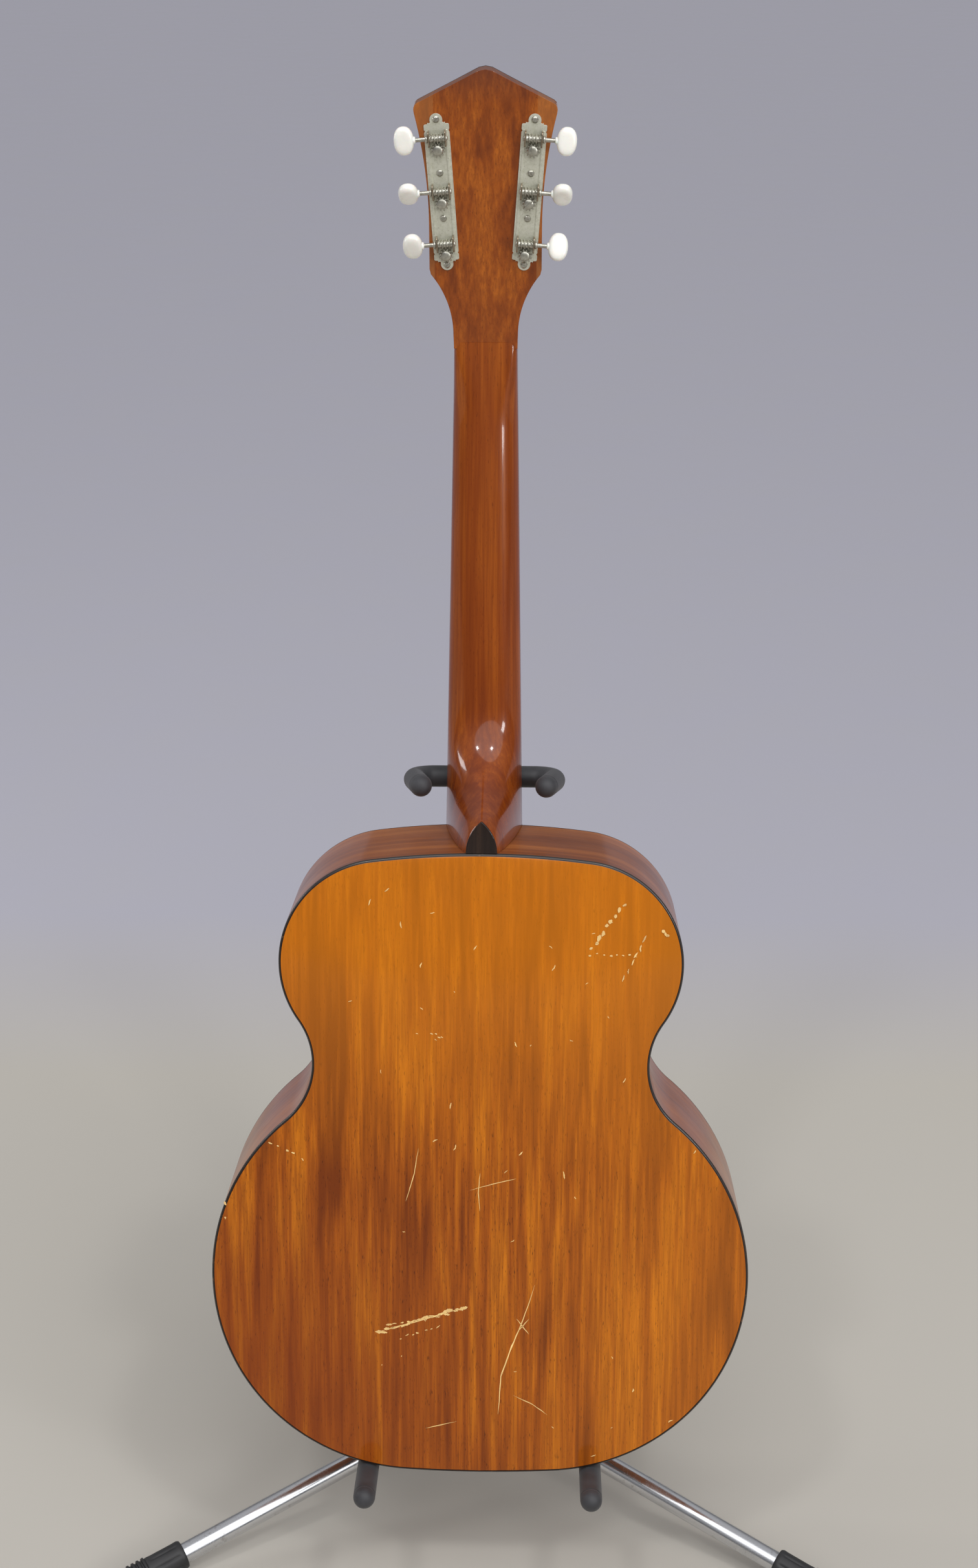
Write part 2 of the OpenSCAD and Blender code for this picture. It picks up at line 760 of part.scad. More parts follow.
module tuner_button(n) {
    color("#f1ede0") at_tuner(n) translate([0, gear_y, worm_gap]) rotate([button_turns[n - 1], 0, 0])
        difference() {
            union() {
                intersection() {
                    translate([button_in + button_l / 2, button_t / 2, 0]) rotate([90, 0, 0])
                        linear_extrude(button_t) union() {
                            square([button_l, button_h - button_l], center = true);
                            for (e = [-1, 1]) translate([0, e * (button_h - button_l) / 2]) circle(button_l / 2);
                        }
                    translate([button_in + button_l / 2, 0, 0]) sphere(9.8);
                    rotate([0, 90, 0]) cylinder(h = 60, r = button_h / 2);
                }
                translate([button_in - 1, 0, 0]) rotate([0, 90, 0]) cylinder(h = 2.4, r = 2.6);
            }
            rotate([0, 90, 0]) cylinder(h = 24, r = core_r);
        }
}

module tuner_button_1() { tuner_button(1); }
module tuner_button_2() { tuner_button(2); }
module tuner_button_3() { tuner_button(3); }
module tuner_button_4() { tuner_button(4); }
module tuner_button_5() { tuner_button(5); }
module tuner_button_6() { tuner_button(6); }
module tuner_worm_1() { tuner_worm(1); }
module tuner_worm_2() { tuner_worm(2); }
module tuner_worm_3() { tuner_worm(3); }
module tuner_worm_4() { tuner_worm(4); }
module tuner_worm_5() { tuner_worm(5); }
module tuner_worm_6() { tuner_worm(6); }
module tuner_post_1() { tuner_post(1); }
module tuner_post_2() { tuner_post(2); }
module tuner_post_3() { tuner_post(3); }
module tuner_post_4() { tuner_post(4); }
module tuner_post_5() { tuner_post(5); }
module tuner_post_6() { tuner_post(6); }

// ---------- stand ----------

// Cradle arms lie under the tail, just clear of the rounded bottom edge at their own x.
function tail_rise(x) = c_tail[1] - sqrt(tail_r * tail_r - pow(x - c_tail[0], 2));
arm_z = tail_rise(arm_x - 2) - sleeve_r - contact_gap;
cradle_back = 30;
rod_r = 4.5;
bend_r = 20;

// Bent cradle line: cross piece behind, quarter bends, arms forward, all at one radius.
module cradle_line(r, tip) {
    for (s = [-1, 1]) mirror([s < 0 ? 1 : 0, 0, 0]) {
        translate([0, cradle_back, arm_z]) rotate([0, 90, 0]) cylinder(h = arm_x - bend_r, r = r);
        translate([arm_x - bend_r, cradle_back - bend_r, arm_z]) rotate_extrude(angle = 90)
            translate([bend_r, 0]) circle(r);
        translate([arm_x, cradle_back - bend_r, arm_z]) rotate([90, 0, 0])
            cylinder(h = arm_reach + cradle_back - bend_r - tip, r = r);
    }
}

module cradle_rod() {
    color("#c9ccd0") in_guitar() {
        difference() {
            cradle_line(rod_r, 8);
            shaft_space();
        }
        difference() {
            translate([-9, cradle_back - 6, arm_z - 6]) cube([18, shaft_y - cradle_back + 2, 12]);
            shaft_space();
            translate([-30, cradle_back, arm_z]) rotate([0, 90, 0]) cylinder(h = 60, r = rod_r - 0.5);
        }
    }
}

module shaft_space() {
    translate([0, shaft_y, -60]) cylinder(h = 400, r = shaft_r);
}

module cradle_sleeves() {
    color("#141414") in_guitar() for (s = [-1, 1]) mirror([s < 0 ? 1 : 0, 0, 0]) difference() {
        union() {
            translate([arm_x, cradle_back - bend_r, arm_z]) rotate([90, 0, 0])
                cylinder(h = arm_reach + cradle_back - bend_r - sleeve_r, r = sleeve_r);
            translate([arm_x, sleeve_r - arm_reach, arm_z]) sphere(sleeve_r);
            translate([arm_x - bend_r, cradle_back - bend_r, arm_z]) rotate_extrude(angle = 90)
                translate([bend_r, 0]) circle(sleeve_r);
        }
        translate([arm_x, cradle_back - bend_r + 0.01, arm_z]) rotate([90, 0, 0])
            cylinder(h = arm_reach + cradle_back - bend_r - 8, r = rod_r);
        translate([arm_x - bend_r, cradle_back - bend_r, arm_z]) rotate_extrude(angle = 90)
            translate([bend_r, 0]) circle(rod_r);
    }
}

// Foot of the shaft in the guitar's frame, and the same point in the row frame.
foot_gz = -20;
hub_y = tail_y + shaft_y * cos(lean) + foot_gz * sin(lean);
pivot_r = 26;
pivot_z = foot_r - 1 + (leg_reach - pivot_r) * tan(leg_slope);
hub_top = 96;
leg_angles = [210, 330, 90];

module at_leg(a) {
    translate([0, hub_y, pivot_z]) rotate([0, 0, a]) translate([pivot_r, 0, 0]) rotate([0, leg_slope, 0])
        children();
}

module base_hub() {
    color("#191919") difference() {
        union() {
            translate([0, hub_y, pivot_z - 12]) cylinder(h = 26, r = 15);
            intersection() {
                in_guitar() translate([0, shaft_y, -60]) cylinder(h = 92, r = shaft_r + 4);
                translate([-50, hub_y - 60, pivot_z - 12]) cube([100, 140, 60]);
            }
            for (a = leg_angles) translate([0, hub_y, pivot_z]) rotate([0, 0, a]) for (e = [-1, 1])
                translate([0, e * 8.8 - 2.5, 0]) {
                    translate([10, 0, -9]) cube([pivot_r - 10, 5, 18]);
                    translate([pivot_r, 5, 0]) rotate([90, 0, 0]) cylinder(h = 5, r = 9);
                }
        }
        in_guitar() translate([0, shaft_y, foot_gz + 2]) cylinder(h = 200, r = shaft_r);
        in_guitar() translate([-10, cradle_back - 7, arm_z - 7]) cube([20, 10, 14]);
        in_guitar() cradle_line(rod_r + 0.4, 8);
        in_guitar() translate([-9.2, cradle_back - 6.2, arm_z - 6.2]) cube([18.4, 20, 12.4]);
        for (a = leg_angles) translate([0, hub_y, pivot_z]) rotate([0, 0, a]) {
            translate([pivot_r, 0, 0]) rotate([90, 0, 0]) cylinder(h = 40, r = 3, center = true);
            translate([15.6, -6.3, -20]) cube([30, 12.6, 40]);
        }
    }
}

module leg_pins() {
    color("#c9ccd0") for (a = leg_angles) translate([0, hub_y, pivot_z]) rotate([0, 0, a])
        translate([pivot_r, 0, 0]) rotate([90, 0, 0]) {
            cylinder(h = 22.8, r = 3, center = true);
            for (e = [-1, 1]) translate([0, 0, e * 12.2]) cylinder(h = 1.6, r = 4.6, center = true);
        }
}

leg_l = (leg_reach - pivot_r) / cos(leg_slope);

module leg(a) {
    color("#c9ccd0") at_leg(a) difference() {
        union() {
            translate([0, 6, 0]) rotate([90, 0, 0]) cylinder(h = 12, r = 8);
            translate([0, -6, -5.5]) cube([13, 12, 11]);
            translate([11.5, 0, 0]) rotate([0, 90, 0]) cylinder(h = leg_l - 14, r = leg_r);
        }
        rotate([90, 0, 0]) cylinder(h = 20, r = 3 + run_gap, center = true);
        translate([22, 0, 0]) rotate([0, 90, 0]) cylinder(h = leg_l, r = leg_r - 1.2);
    }
}

foot_l = 58;

module foot(a) {
    color("#1c1c1c") difference() {
        at_leg(a) difference() {
            union() {
                translate([leg_l - 40, 0, 0]) rotate([0, 90, 0]) cylinder(h = foot_l - 4, r = foot_r - 1);
                for (k = [0:5]) translate([leg_l - 38 + k * 8.6, 0, 0]) rotate([0, 90, 0])
                    cylinder(h = 5.4, r = foot_r);
                translate([leg_l - 40, 0, 0]) rotate([0, 90, 0]) cylinder(h = foot_l, r = foot_r - 3);
            }
            translate([leg_l - 50, 0, 0]) rotate([0, 90, 0]) cylinder(h = 47.5, r = leg_r);
        }
        translate([-500, -500, -50]) cube([1000, 1000, 50]);
    }
}

module leg_left() { leg(leg_angles[0]); }
module leg_right() { leg(leg_angles[1]); }
module leg_rear() { leg(leg_angles[2]); }
module foot_left() { foot(leg_angles[0]); }
module foot_right() { foot(leg_angles[1]); }
module foot_rear() { foot(leg_angles[2]); }

shaft_top = 320;

module shaft_tube() {
    color("#c9ccd0") in_guitar() difference() {
        translate([0, shaft_y, foot_gz + 2.05]) cylinder(h = shaft_top - foot_gz - 2, r = shaft_r);
        translate([0, shaft_y, foot_gz + 8]) cylinder(h = shaft_top + 20, r = inner_r + run_gap);
    }
}

clamp_z = shaft_top - 26;
clamp_r = 17;
knob_z = shaft_top + 12;

module height_clamp() {
    color("#191919") in_guitar() difference() {
        union() {
            translate([0, shaft_y, clamp_z]) cylinder(h = 50, r = clamp_r);
            translate([0, shaft_y, knob_z]) rotate([-90, 0, 0]) cylinder(h = 24, r = 8);
        }
        translate([0, shaft_y, clamp_z - 1]) cylinder(h = shaft_top - clamp_z + 1.2, r = shaft_r);
        translate([0, shaft_y, clamp_z - 1]) cylinder(h = 60, r = inner_r + run_gap);
        translate([0, shaft_y, knob_z]) rotate([-90, 0, 0]) cylinder(h = 40, r = 3 + run_gap);
    }
}

module height_knob() {
    color("#202020") in_guitar() translate([0, shaft_y, knob_z]) rotate([-90, 0, 0]) {
        translate([0, 0, inner_r + 0.15]) cylinder(h = 24, r = 3);
        difference() {
            translate([0, 0, 24.4]) cylinder(h = 14, r = 14);
            for (k = [0:5]) rotate([0, 0, 60 * k]) translate([17, 0, 24]) cylinder(h = 15, r = 6);
            translate([0, 0, 23]) cylinder(h = 10.5, r = 3);
        }
    }
}

module inner_tube() {
    color("#c9ccd0") in_guitar() difference() {
        translate([0, shaft_y, 150]) cylinder(h = yoke_z - 150 + 14, r = inner_r);
        translate([0, shaft_y, 149]) cylinder(h = yoke_z - 150 - 12, r = inner_r - 1.5);
        translate([0, shaft_y + 5, yoke_z]) rotate([90, 0, 0]) cylinder(h = 40, r = stem_r);
    }
}

// Yoke bar clears the thickest string; each horn bends forward, slightly inward and upward.
string_top = mix(nut_top, saddle_top, (nut_z - yoke_z) / scale_len) + 2 * string_r(5);
yoke_y = string_top + contact_gap + sleeve_r;
yoke_bend = 15;
horn_in = 12;
horn_up = 3.5;
horn_l = 28;

stem_r = 3.4;
yoke_rod_r = 4;

// The bar and both bent horns as one line of radius r.
module yoke_line(r) {
    translate([bend_x() * -1, 0, 0]) rotate([0, 90, 0]) cylinder(h = 2 * bend_x(), r = r);
    for (s = [0, 1]) mirror([s, 0, 0]) in_horn() {
        rotate_extrude(angle = 90 + horn_in) translate([yoke_bend, 0]) circle(r);
        translate([yoke_bend, 0, 0]) rotate([90, 0, 0]) cylinder(h = horn_l, r = r);
    }
    for (s = [-1, 1]) translate([s * bend_x() - 1.5, 0, 0]) rotate([0, 90, 0]) cylinder(h = 3, r = r * 1.06);
}

function bend_x() = yoke_x - yoke_bend;

module in_horn() {
    translate([bend_x(), 0, 0]) rotate([-horn_up, 0, 0]) translate([0, -yoke_bend, 0])
        rotate([0, 0, -horn_in]) children();
}

// Rounded end of the sleeve with a moulding flat at its tip.
module sleeve_tip() {
    rotate_extrude() intersection() {
        circle(sleeve_r - 0.3);
        translate([0, -4]) square([sleeve_r, sleeve_r + 3.5]);
    }
}

module yoke_rod() {
    color("#c9ccd0") in_guitar() translate([0, yoke_y, yoke_z]) {
        yoke_line(yoke_rod_r);
        translate([0, shaft_y - yoke_y + 5, 0]) rotate([90, 0, 0]) cylinder(h = shaft_y - yoke_y + 5, r = stem_r);
    }
}

module yoke_sleeve() {
    color("#141414") in_guitar() translate([0, yoke_y, yoke_z]) difference() {
        union() {
            yoke_line(sleeve_r);
            for (s = [0, 1]) mirror([s, 0, 0]) in_horn() translate([yoke_bend, -horn_l, 0])
                rotate([90, 0, 0]) sleeve_tip();
        }
        yoke_line(yoke_rod_r);
        translate([0, 40, 0]) rotate([90, 0, 0]) cylinder(h = 40, r = stem_r);
    }
}

// ---------- drawing ----------

soundboard();
back_panel();
ribs();
binding();
linings();
end_blocks();
soundboard_braces();
back_braces();
neck();
heel_cap();
head_veneer();
truss_rod();
fretboard();
frets();
fret_dots();
nut();
bridge();
saddle();
bridge_pins();
end_pin();
pickguard();
rosette();
strings();
tuner_plates();
plate_screws();
post_bushings();
tuner_button_1();
tuner_worm_1();
tuner_post_1();
tuner_button_2();
tuner_worm_2();
tuner_post_2();
tuner_button_3();
tuner_worm_3();
tuner_post_3();
tuner_button_4();
tuner_worm_4();
tuner_post_4();
tuner_button_5();
tuner_worm_5();
tuner_post_5();
tuner_button_6();
tuner_worm_6();
tuner_post_6();
base_hub();
shaft_tube();
inner_tube();
height_clamp();
height_knob();
yoke_rod();
yoke_sleeve();
cradle_rod();
cradle_sleeves();
leg_pins();
leg_left();
leg_right();
leg_rear();
foot_left();
foot_right();
foot_rear();
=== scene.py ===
"""Looks of an acoustic guitar resting back-out on a folding floor stand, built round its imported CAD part."""

import math
import random
from math import radians

import bmesh
import bpy
from mathutils import Matrix, Vector


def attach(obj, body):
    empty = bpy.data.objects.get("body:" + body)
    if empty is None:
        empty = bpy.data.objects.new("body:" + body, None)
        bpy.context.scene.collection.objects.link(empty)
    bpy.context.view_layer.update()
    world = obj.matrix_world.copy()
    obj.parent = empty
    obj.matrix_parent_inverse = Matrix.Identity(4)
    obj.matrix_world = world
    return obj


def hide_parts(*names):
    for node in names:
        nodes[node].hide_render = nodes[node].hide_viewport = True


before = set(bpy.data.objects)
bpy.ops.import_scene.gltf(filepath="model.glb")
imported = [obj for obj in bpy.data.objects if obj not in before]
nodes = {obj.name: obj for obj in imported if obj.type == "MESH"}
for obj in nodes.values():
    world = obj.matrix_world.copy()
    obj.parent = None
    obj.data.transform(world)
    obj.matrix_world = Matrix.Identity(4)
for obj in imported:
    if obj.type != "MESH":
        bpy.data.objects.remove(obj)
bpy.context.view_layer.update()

# ---------- sizes, in millimetres

LEAN = radians(12.5)             # the guitar leans back on its stand
TAIL = (0.0, -107.3, 90.0)            # tail edge of the soundboard, row frame
BODY_LEN, DEPTH_TAIL, DEPTH_NECK = 466.0, 104.0, 90.0
BACK_T, RIB_T, BIND_W, BIND_H = 3.0, 3.0, 1.8, 2.2
SCALE_LEN, NUT_W, HEEL_W = 628.0, 44.2, 55.8
NUT_Z = BODY_LEN + SCALE_LEN * (1 - 2 ** (-14 / 12))
HEAD_PITCH, HEAD_T, HEAD_LEN = radians(14), 14.0, 186.0
POST_GAP, WORM_GAP, PLATE_TILT = 35.2, 7.6, radians(4)
MID_X, MID_Z, PLATE_T, PLATE_MID = 29.2, 99.3, 1.0, 6.2
PLATE_Y = -HEAD_T - PLATE_T
GEAR_Y, GEAR_W, PITCH_R, TEETH = PLATE_Y - 3.7, 2.4, 4.45, 12
ARM_X, ARM_REACH, SLEEVE_R, CRADLE_BACK, BEND_R = 82.0, 144.0, 8.0, 30.0, 20.0
SHAFT_Y, YOKE_Z, YOKE_X, YOKE_BEND, HORN_L = 45.0, 497.0, 51.2, 15.0, 28.0
HORN_IN, HORN_UP = radians(12), radians(3.5)
LEG_REACH, LEG_SLOPE, LEG_R, FOOT_R, PIVOT_R = 298.0, radians(11), 7.8, 12.0, 26.0
GAP = 0.3                             # between parts that a joint separates

TO_ROW = Matrix.Scale(0.001, 4)
ALONG_X = Matrix.Rotation(math.pi / 2, 4, "Y")
IN_GUITAR = TO_ROW @ Matrix.Translation(TAIL) @ Matrix.Rotation(-LEAN, 4, "X")
IN_HEAD = IN_GUITAR @ Matrix.Translation((0, 0, NUT_Z)) @ Matrix.Rotation(HEAD_PITCH, 4, "X")


def on_plate(side, along):
    """Frame of a point on one tuner plate: side -1 or 1, distance up the plate from its middle post."""
    flip = Matrix.Scale(side, 4, (1, 0, 0))
    return (IN_HEAD @ Matrix.Translation((side * MID_X, 0, MID_Z)) @ flip
            @ Matrix.Rotation(PLATE_TILT, 4, "Y") @ Matrix.Translation((0, 0, along)))


# ---------- mesh helpers

def mix(a, b, t):
    return a + (b - a) * t


def ease(t):
    t = min(1.0, max(0.0, t))
    return t * t * (3 - 2 * t)


def circle(n):
    """Angles of n even steps round a circle."""
    return [2 * math.pi * k / n for k in range(n)]


def bulge(value, power):
    return math.copysign(abs(value) ** power, value)


def add_to_scene(name, data):
    item = bpy.data.objects.new(name, data)
    bpy.context.scene.collection.objects.link(item)
    return item


def face_outward(mesh):
    bm = bmesh.new()
    bm.from_mesh(mesh)
    bmesh.ops.recalc_face_normals(bm, faces=bm.faces)
    bm.to_mesh(mesh)
    bm.free()


def make(name, verts, faces, place, body, material, replaces=(), sharp=35, runs=None):
    """New piece from points in the frame `place`, riding on a body; runs holds grain coordinates."""
    mesh = bpy.data.meshes.new(name)
    mesh.from_pydata([place @ Vector(v) for v in verts], [], faces)
    if runs:
        layer = mesh.attributes.new("grain_run", "FLOAT_VECTOR", "POINT")
        layer.data.foreach_set("vector", [c for r in runs for c in r])
    face_outward(mesh)
    mesh.shade_smooth()
    mesh.set_sharp_from_angle(angle=radians(sharp))
    piece = add_to_scene(name, mesh)
    mesh.materials.append(material)
    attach(piece, body)
    if replaces:
        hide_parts(*replaces)
    return piece


def bevel(piece, width, segments=2, angle=30):
    """Softens a piece's hard edges; width in millimetres."""
    cut = piece.modifiers.new("soften", "BEVEL")
    cut.width = width * 0.001
    cut.segments = segments
    cut.limit_method = "ANGLE"
    cut.angle_limit = radians(angle)
    cut.harden_normals = True
    return piece


class Shape:
    """Points and faces gathered from several simple forms, for one piece."""

    def __init__(self):
        self.verts, self.faces = [], []

    def add(self, verts, faces):
        n = len(self.verts)
        self.verts += [tuple(v) for v in verts]
        self.faces += [tuple(i + n for i in f) for f in faces]

    def rings(self, rings, ends=True, loop=False):
        """Skin through equal rings of points; ends closes the first and last ring."""
        n, m = len(rings[0]), len(rings)
        faces = []
        for k in range(m if loop else m - 1):
            a, b = k * n, ((k + 1) % m) * n
            faces += [(a + i, a + (i + 1) % n, b + (i + 1) % n, b + i) for i in range(n)]
        if ends and not loop:
            faces += [tuple(range(n - 1, -1, -1)), tuple(range((m - 1) * n, m * n))]
        self.add([p for r in rings for p in r], faces)

    def lathe(self, profile, place=Matrix(), n=48):
        """Revolves (radius, height) pairs about z."""
        self.rings([[place @ Vector((r * math.cos(a), r * math.sin(a), h)) for a in circle(n)]
                    for r, h in profile])

    def tube(self, path, radius, n=32):
        """Round tube along a list of points; radius is a number or a function of the distance along it."""
        path = [Vector(p) for p in path]
        tangents = [(path[min(i + 1, len(path) - 1)] - path[max(i - 1, 0)]).normalized()
                    for i in range(len(path))]
        side = tangents[0].orthogonal().normalized()
        rings, run = [], 0.0
        for i, (p, t) in enumerate(zip(path, tangents)):
            run += (p - path[i - 1]).length if i else 0.0
            side = (side - t * side.dot(t)).normalized()
            up = t.cross(side)
            r = radius(run) if callable(radius) else radius
            rings.append([p + (side * math.cos(a) + up * math.sin(a)) * r
                          for a in circle(n)])
        self.rings(rings)

    def slab(self, outline, y0, y1):
        """Flat outline of (x, z) points, thick from y0 to y1."""
        self.rings([[(x, y, z) for x, z in outline] for y in (y0, y1)])


def rounded(outline, radius, steps=4, centre=(0, 0)):
    """Rounds the corners of a closed outline; radius is a number or one per corner."""
    out, n = [], len(outline)
    for i, p in enumerate(outline):
        r = radius[i] if isinstance(radius, (list, tuple)) else radius
        a, b, c = Vector(outline[i - 1]), Vector(p), Vector(outline[(i + 1) % n])
        if r <= 0:
            out.append(tuple(b))
            continue
        u, w = (a - b).normalized(), (c - b).normalized()
        cut = min(r, (a - b).length * 0.45, (c - b).length * 0.45)
        p0, p1 = b + u * cut, b + w * cut
        for k in range(steps + 1):
            t = k / steps
            out.append(tuple(p0 * (1 - t) ** 2 + b * 2 * t * (1 - t) + p1 * t ** 2))
    return out


# ---------- outline of the sound box

def heading(a):
    return Vector((math.sin(radians(a)), -math.cos(radians(a))))


END, END_A = 890.0, 3.5
TAIL_R, TAIL_A = 148.0, 68.8
FLANK_R, FLANK_A = 155.5, 139.5
WAIST_R, WAIST_A = 55.4, 55.6
BOUT_R = 75.3
c_end = Vector((0, END))
c_tail = c_end + (END - TAIL_R) * heading(END_A)
c_flank = c_tail + (TAIL_R - FLANK_R) * heading(TAIL_A)
c_waist = c_flank + (FLANK_R + WAIST_R) * heading(FLANK_A)
c_bout = c_waist - (WAIST_R + BOUT_R) * heading(WAIST_A)
bout_q = c_bout.y - BODY_LEN
TOP_R = (BOUT_R ** 2 - c_bout.x ** 2 - bout_q ** 2) / (2 * (bout_q + BOUT_R))
c_top = Vector((0, BODY_LEN - TOP_R))
BOUT_A = math.degrees(math.atan2(c_bout.x - c_top.x, -(c_bout.y - c_top.y)))


def half_outline(inset, fine=2):
    """Right-hand side of the sound box from the tail to the neck, moved in; (x, z) points."""
    out = [Vector((0, inset))]
    for c, r, a0, a1, n in ((c_end, END - inset, 0, END_A, 5), (c_tail, TAIL_R - inset, END_A, TAIL_A, 20),
                            (c_flank, FLANK_R - inset, TAIL_A, FLANK_A, 22),
                            (c_waist, -WAIST_R - inset, FLANK_A, WAIST_A, 18),
                            (c_bout, BOUT_R - inset, WAIST_A, BOUT_A, 26),
                            (c_top, TOP_R - inset, BOUT_A, 180, 5)):
        out += [c + r * heading(mix(a0, a1, i / (n * fine))) for i in range(1, n * fine + 1)]
    return out


def full_outline(inset, fine=2):
    half = half_outline(inset, fine)
    return half + [Vector((-p.x, p.y)) for p in half[-2:0:-1]]


def back_y(z):
    """Depth of the back's outer face at height z."""
    return -mix(DEPTH_TAIL, DEPTH_NECK, z / BODY_LEN)


# ---------- shader helper

class Shader:
    """Short way to write a material's nodes."""

    def __init__(self, name, **values):
        self.material = bpy.data.materials.new(name)
        self.material.use_nodes = True
        self.tree = self.material.node_tree
        self.bsdf = self.tree.nodes["Principled BSDF"]
        for key, value in values.items():
            self.bsdf.inputs[key.replace("_", " ")].default_value = value

    def node(self, kind, inputs, **options):
        n = self.tree.nodes.new(kind)
        for key, value in options.items():
            setattr(n, key, value)
        for key, value in inputs.items():
            if isinstance(value, bpy.types.NodeSocket):
                self.tree.links.new(value, n.inputs[key])
            else:
                n.inputs[key].default_value = value
        return n

    def where(self, scale=(1, 1, 1), attribute=None):
        """Millimetre coordinates in the guitar's own frame, or a named attribute, stretched by scale."""
        if attribute:
            source = self.node("ShaderNodeAttribute", {}, attribute_name=attribute).outputs["Vector"]
        else:
            source = self.node("ShaderNodeTexCoord", {}).outputs["Object"]
            turn = Matrix.Rotation(LEAN, 3, "X")
            source = self.node("ShaderNodeMapping", {
                "Vector": source, "Scale": (1000,) * 3, "Rotation": (LEAN, 0, 0),
                "Location": -(turn @ Vector(TAIL))}).outputs[0]
        return self.node("ShaderNodeMapping", {"Vector": source, "Scale": scale}).outputs[0]

    def part(self, axis):
        """One of the guitar's own coordinates, in millimetres."""
        return self.node("ShaderNodeSeparateXYZ", {"Vector": self.where()}).outputs["XYZ".index(axis)]

    def span(self, value, start, end):
        """0 to 1 as value runs from start to end."""
        return self.node("ShaderNodeMapRange", {0: value, 1: start, 2: end}).outputs[0]

    def times(self, a, b):
        return self.math("MULTIPLY", a, b)

    def plus(self, a, b):
        return self.math("ADD", a, b)

    def noise(self, where, size, detail=3.0, rough=0.5, distort=0.0):
        """Noise whose features are about size millimetres."""
        return self.node("ShaderNodeTexNoise", {
            "Vector": where, "Scale": 1 / size, "Detail": detail, "Roughness": rough,
            "Distortion": distort}).outputs["Fac"]

    def ramp(self, fac, *stops):
        """Colour or grey ramp; each stop is (place, value)."""
        n = self.node("ShaderNodeValToRGB", {"Fac": fac})
        while len(n.color_ramp.elements) < len(stops):
            n.color_ramp.elements.new(0.5)
        for e, (at, value) in zip(n.color_ramp.elements, stops):
            e.position = at
            e.color = (*value, 1) if isinstance(value, (tuple, list)) else (value, value, value, 1)
        return n.outputs["Color"]

    def math(self, operation, a, b=0.0):
        return self.node("ShaderNodeMath", {0: a, 1: b}, operation=operation).outputs[0]

    def blend(self, fac, a, b, mode="MIX"):
        def colour(c):
            return c if isinstance(c, bpy.types.NodeSocket) else (*c, 1)
        n = self.node("ShaderNodeMix", {}, data_type="RGBA", blend_type=mode)
        for key, value in ((0, fac), (6, colour(a)), (7, colour(b))):
            if isinstance(value, bpy.types.NodeSocket):
                self.tree.links.new(value, n.inputs[key])
            else:
                n.inputs[key].default_value = value
        return n.outputs[2]

    def bump(self, height, strength, depth):
        """depth is the relief in millimetres."""
        return self.node("ShaderNodeBump", {
            "Height": height, "Strength": strength, "Distance": depth * 0.001}).outputs[0]

    def set(self, **sockets):
        for key, value in sockets.items():
            self.tree.links.new(value, self.bsdf.inputs[key.replace("_", " ")])
        return self.material


# ---------- materials

def wood(name, dark, mid, light, ribbon=20.0, pores=0.5, gloss=0.22, coat=0.6, attribute=None, tint=None,
         along="z", overlay=None):
    """Straight-grained timber under lacquer: ribbon figure, fine growth lines, short dark pores."""
    s = Shader(name, Coat_Weight=coat, Coat_Roughness=0.07, Specular_IOR_Level=0.14)
    stretch = {"z": (1, 1, 0.06), "x": (0.06, 1, 1)}[along]
    fine = {"z": (1, 1, 0.02), "x": (0.02, 1, 1)}[along]
    bands = s.noise(s.where(stretch, attribute), ribbon, 2.0, 0.55, 0.4)
    lines = s.noise(s.where(fine, attribute), 1.6, 4.0, 0.6, 0.3)
    clouds = s.noise(s.where((1, 1, 0.5), attribute), 85, 2.0)
    stripes = s.noise(s.where(fine, attribute), ribbon * 0.3, 2.0, 0.6, 0.15)
    figure = s.plus(s.times(bands, 0.45), s.times(clouds, 0.27))
    figure = s.plus(figure, s.times(stripes, 0.28))
    colour = s.ramp(figure, (0.40, dark), (0.50, mid), (0.60, light))
    colour = s.blend(s.ramp(lines, (0.35, 0.0), (0.62, 0.55)), colour, dark)
    specks = s.noise(s.where({"z": (1, 1, 0.10), "x": (0.10, 1, 1)}[along], attribute), 0.55, 2.0, 0.6)
    pore = s.ramp(specks, (0.62, 0.0), (0.72, pores))
    colour = s.blend(pore, colour, tuple(c * 0.25 for c in dark))
    if tint:
        colour = tint(s, colour)
    if overlay:
        colour = overlay(s, colour)
    rough = s.ramp(s.noise(s.where((1, 1, 1), attribute), 30, 4.0), (0.3, gloss), (0.7, gloss + 0.1))
    relief = s.plus(s.times(lines, 0.35), s.times(pore, -0.8))
    ripple = s.noise(s.where((1, 1, 0.6), attribute), 9.0, 1.0)
    normal = s.bump(s.plus(relief, s.times(ripple, 0.7)), 0.35, 0.08)
    return s.set(Base_Color=colour, Roughness=rough, Normal=normal)


def zone(s, axis, start, end):
    """0 to 1 between two heights or widths in the guitar's frame, in millimetres."""
    return s.span(s.part(axis), start, end)


def back_painted_light(s, colour):
    """Painted light and shade: lighter and golden toward the shoulders and the right side, as if lit from the
    top right; darker and redder low on the left as painted shade.
    """
    # painted light on the shoulders
    painted_light_high = s.times(zone(s, "Z", 230, 400), 0.50)
    colour = s.blend(painted_light_high, colour, (0.70, 0.215, 0.008))
    # painted light on the right side
    right = s.times(zone(s, "X", 20, 150), 0.22)
    colour = s.blend(right, colour, (0.62, 0.20, 0.010))
    # painted shade low on the left
    painted_shade_low_left = s.times(s.times(zone(s, "X", 30, -140), zone(s, "Z", 260, 90)), 0.55)
    return s.blend(painted_shade_low_left, colour, (0.19, 0.030, 0.003))


def neck_tint(s, colour):
    """Redder along the neck, easing into the orange-brown head."""
    low = s.times(zone(s, "Z", NUT_Z + 40, NUT_Z - 60), 0.45)
    return s.blend(low, colour, (0.17, 0.026, 0.004))


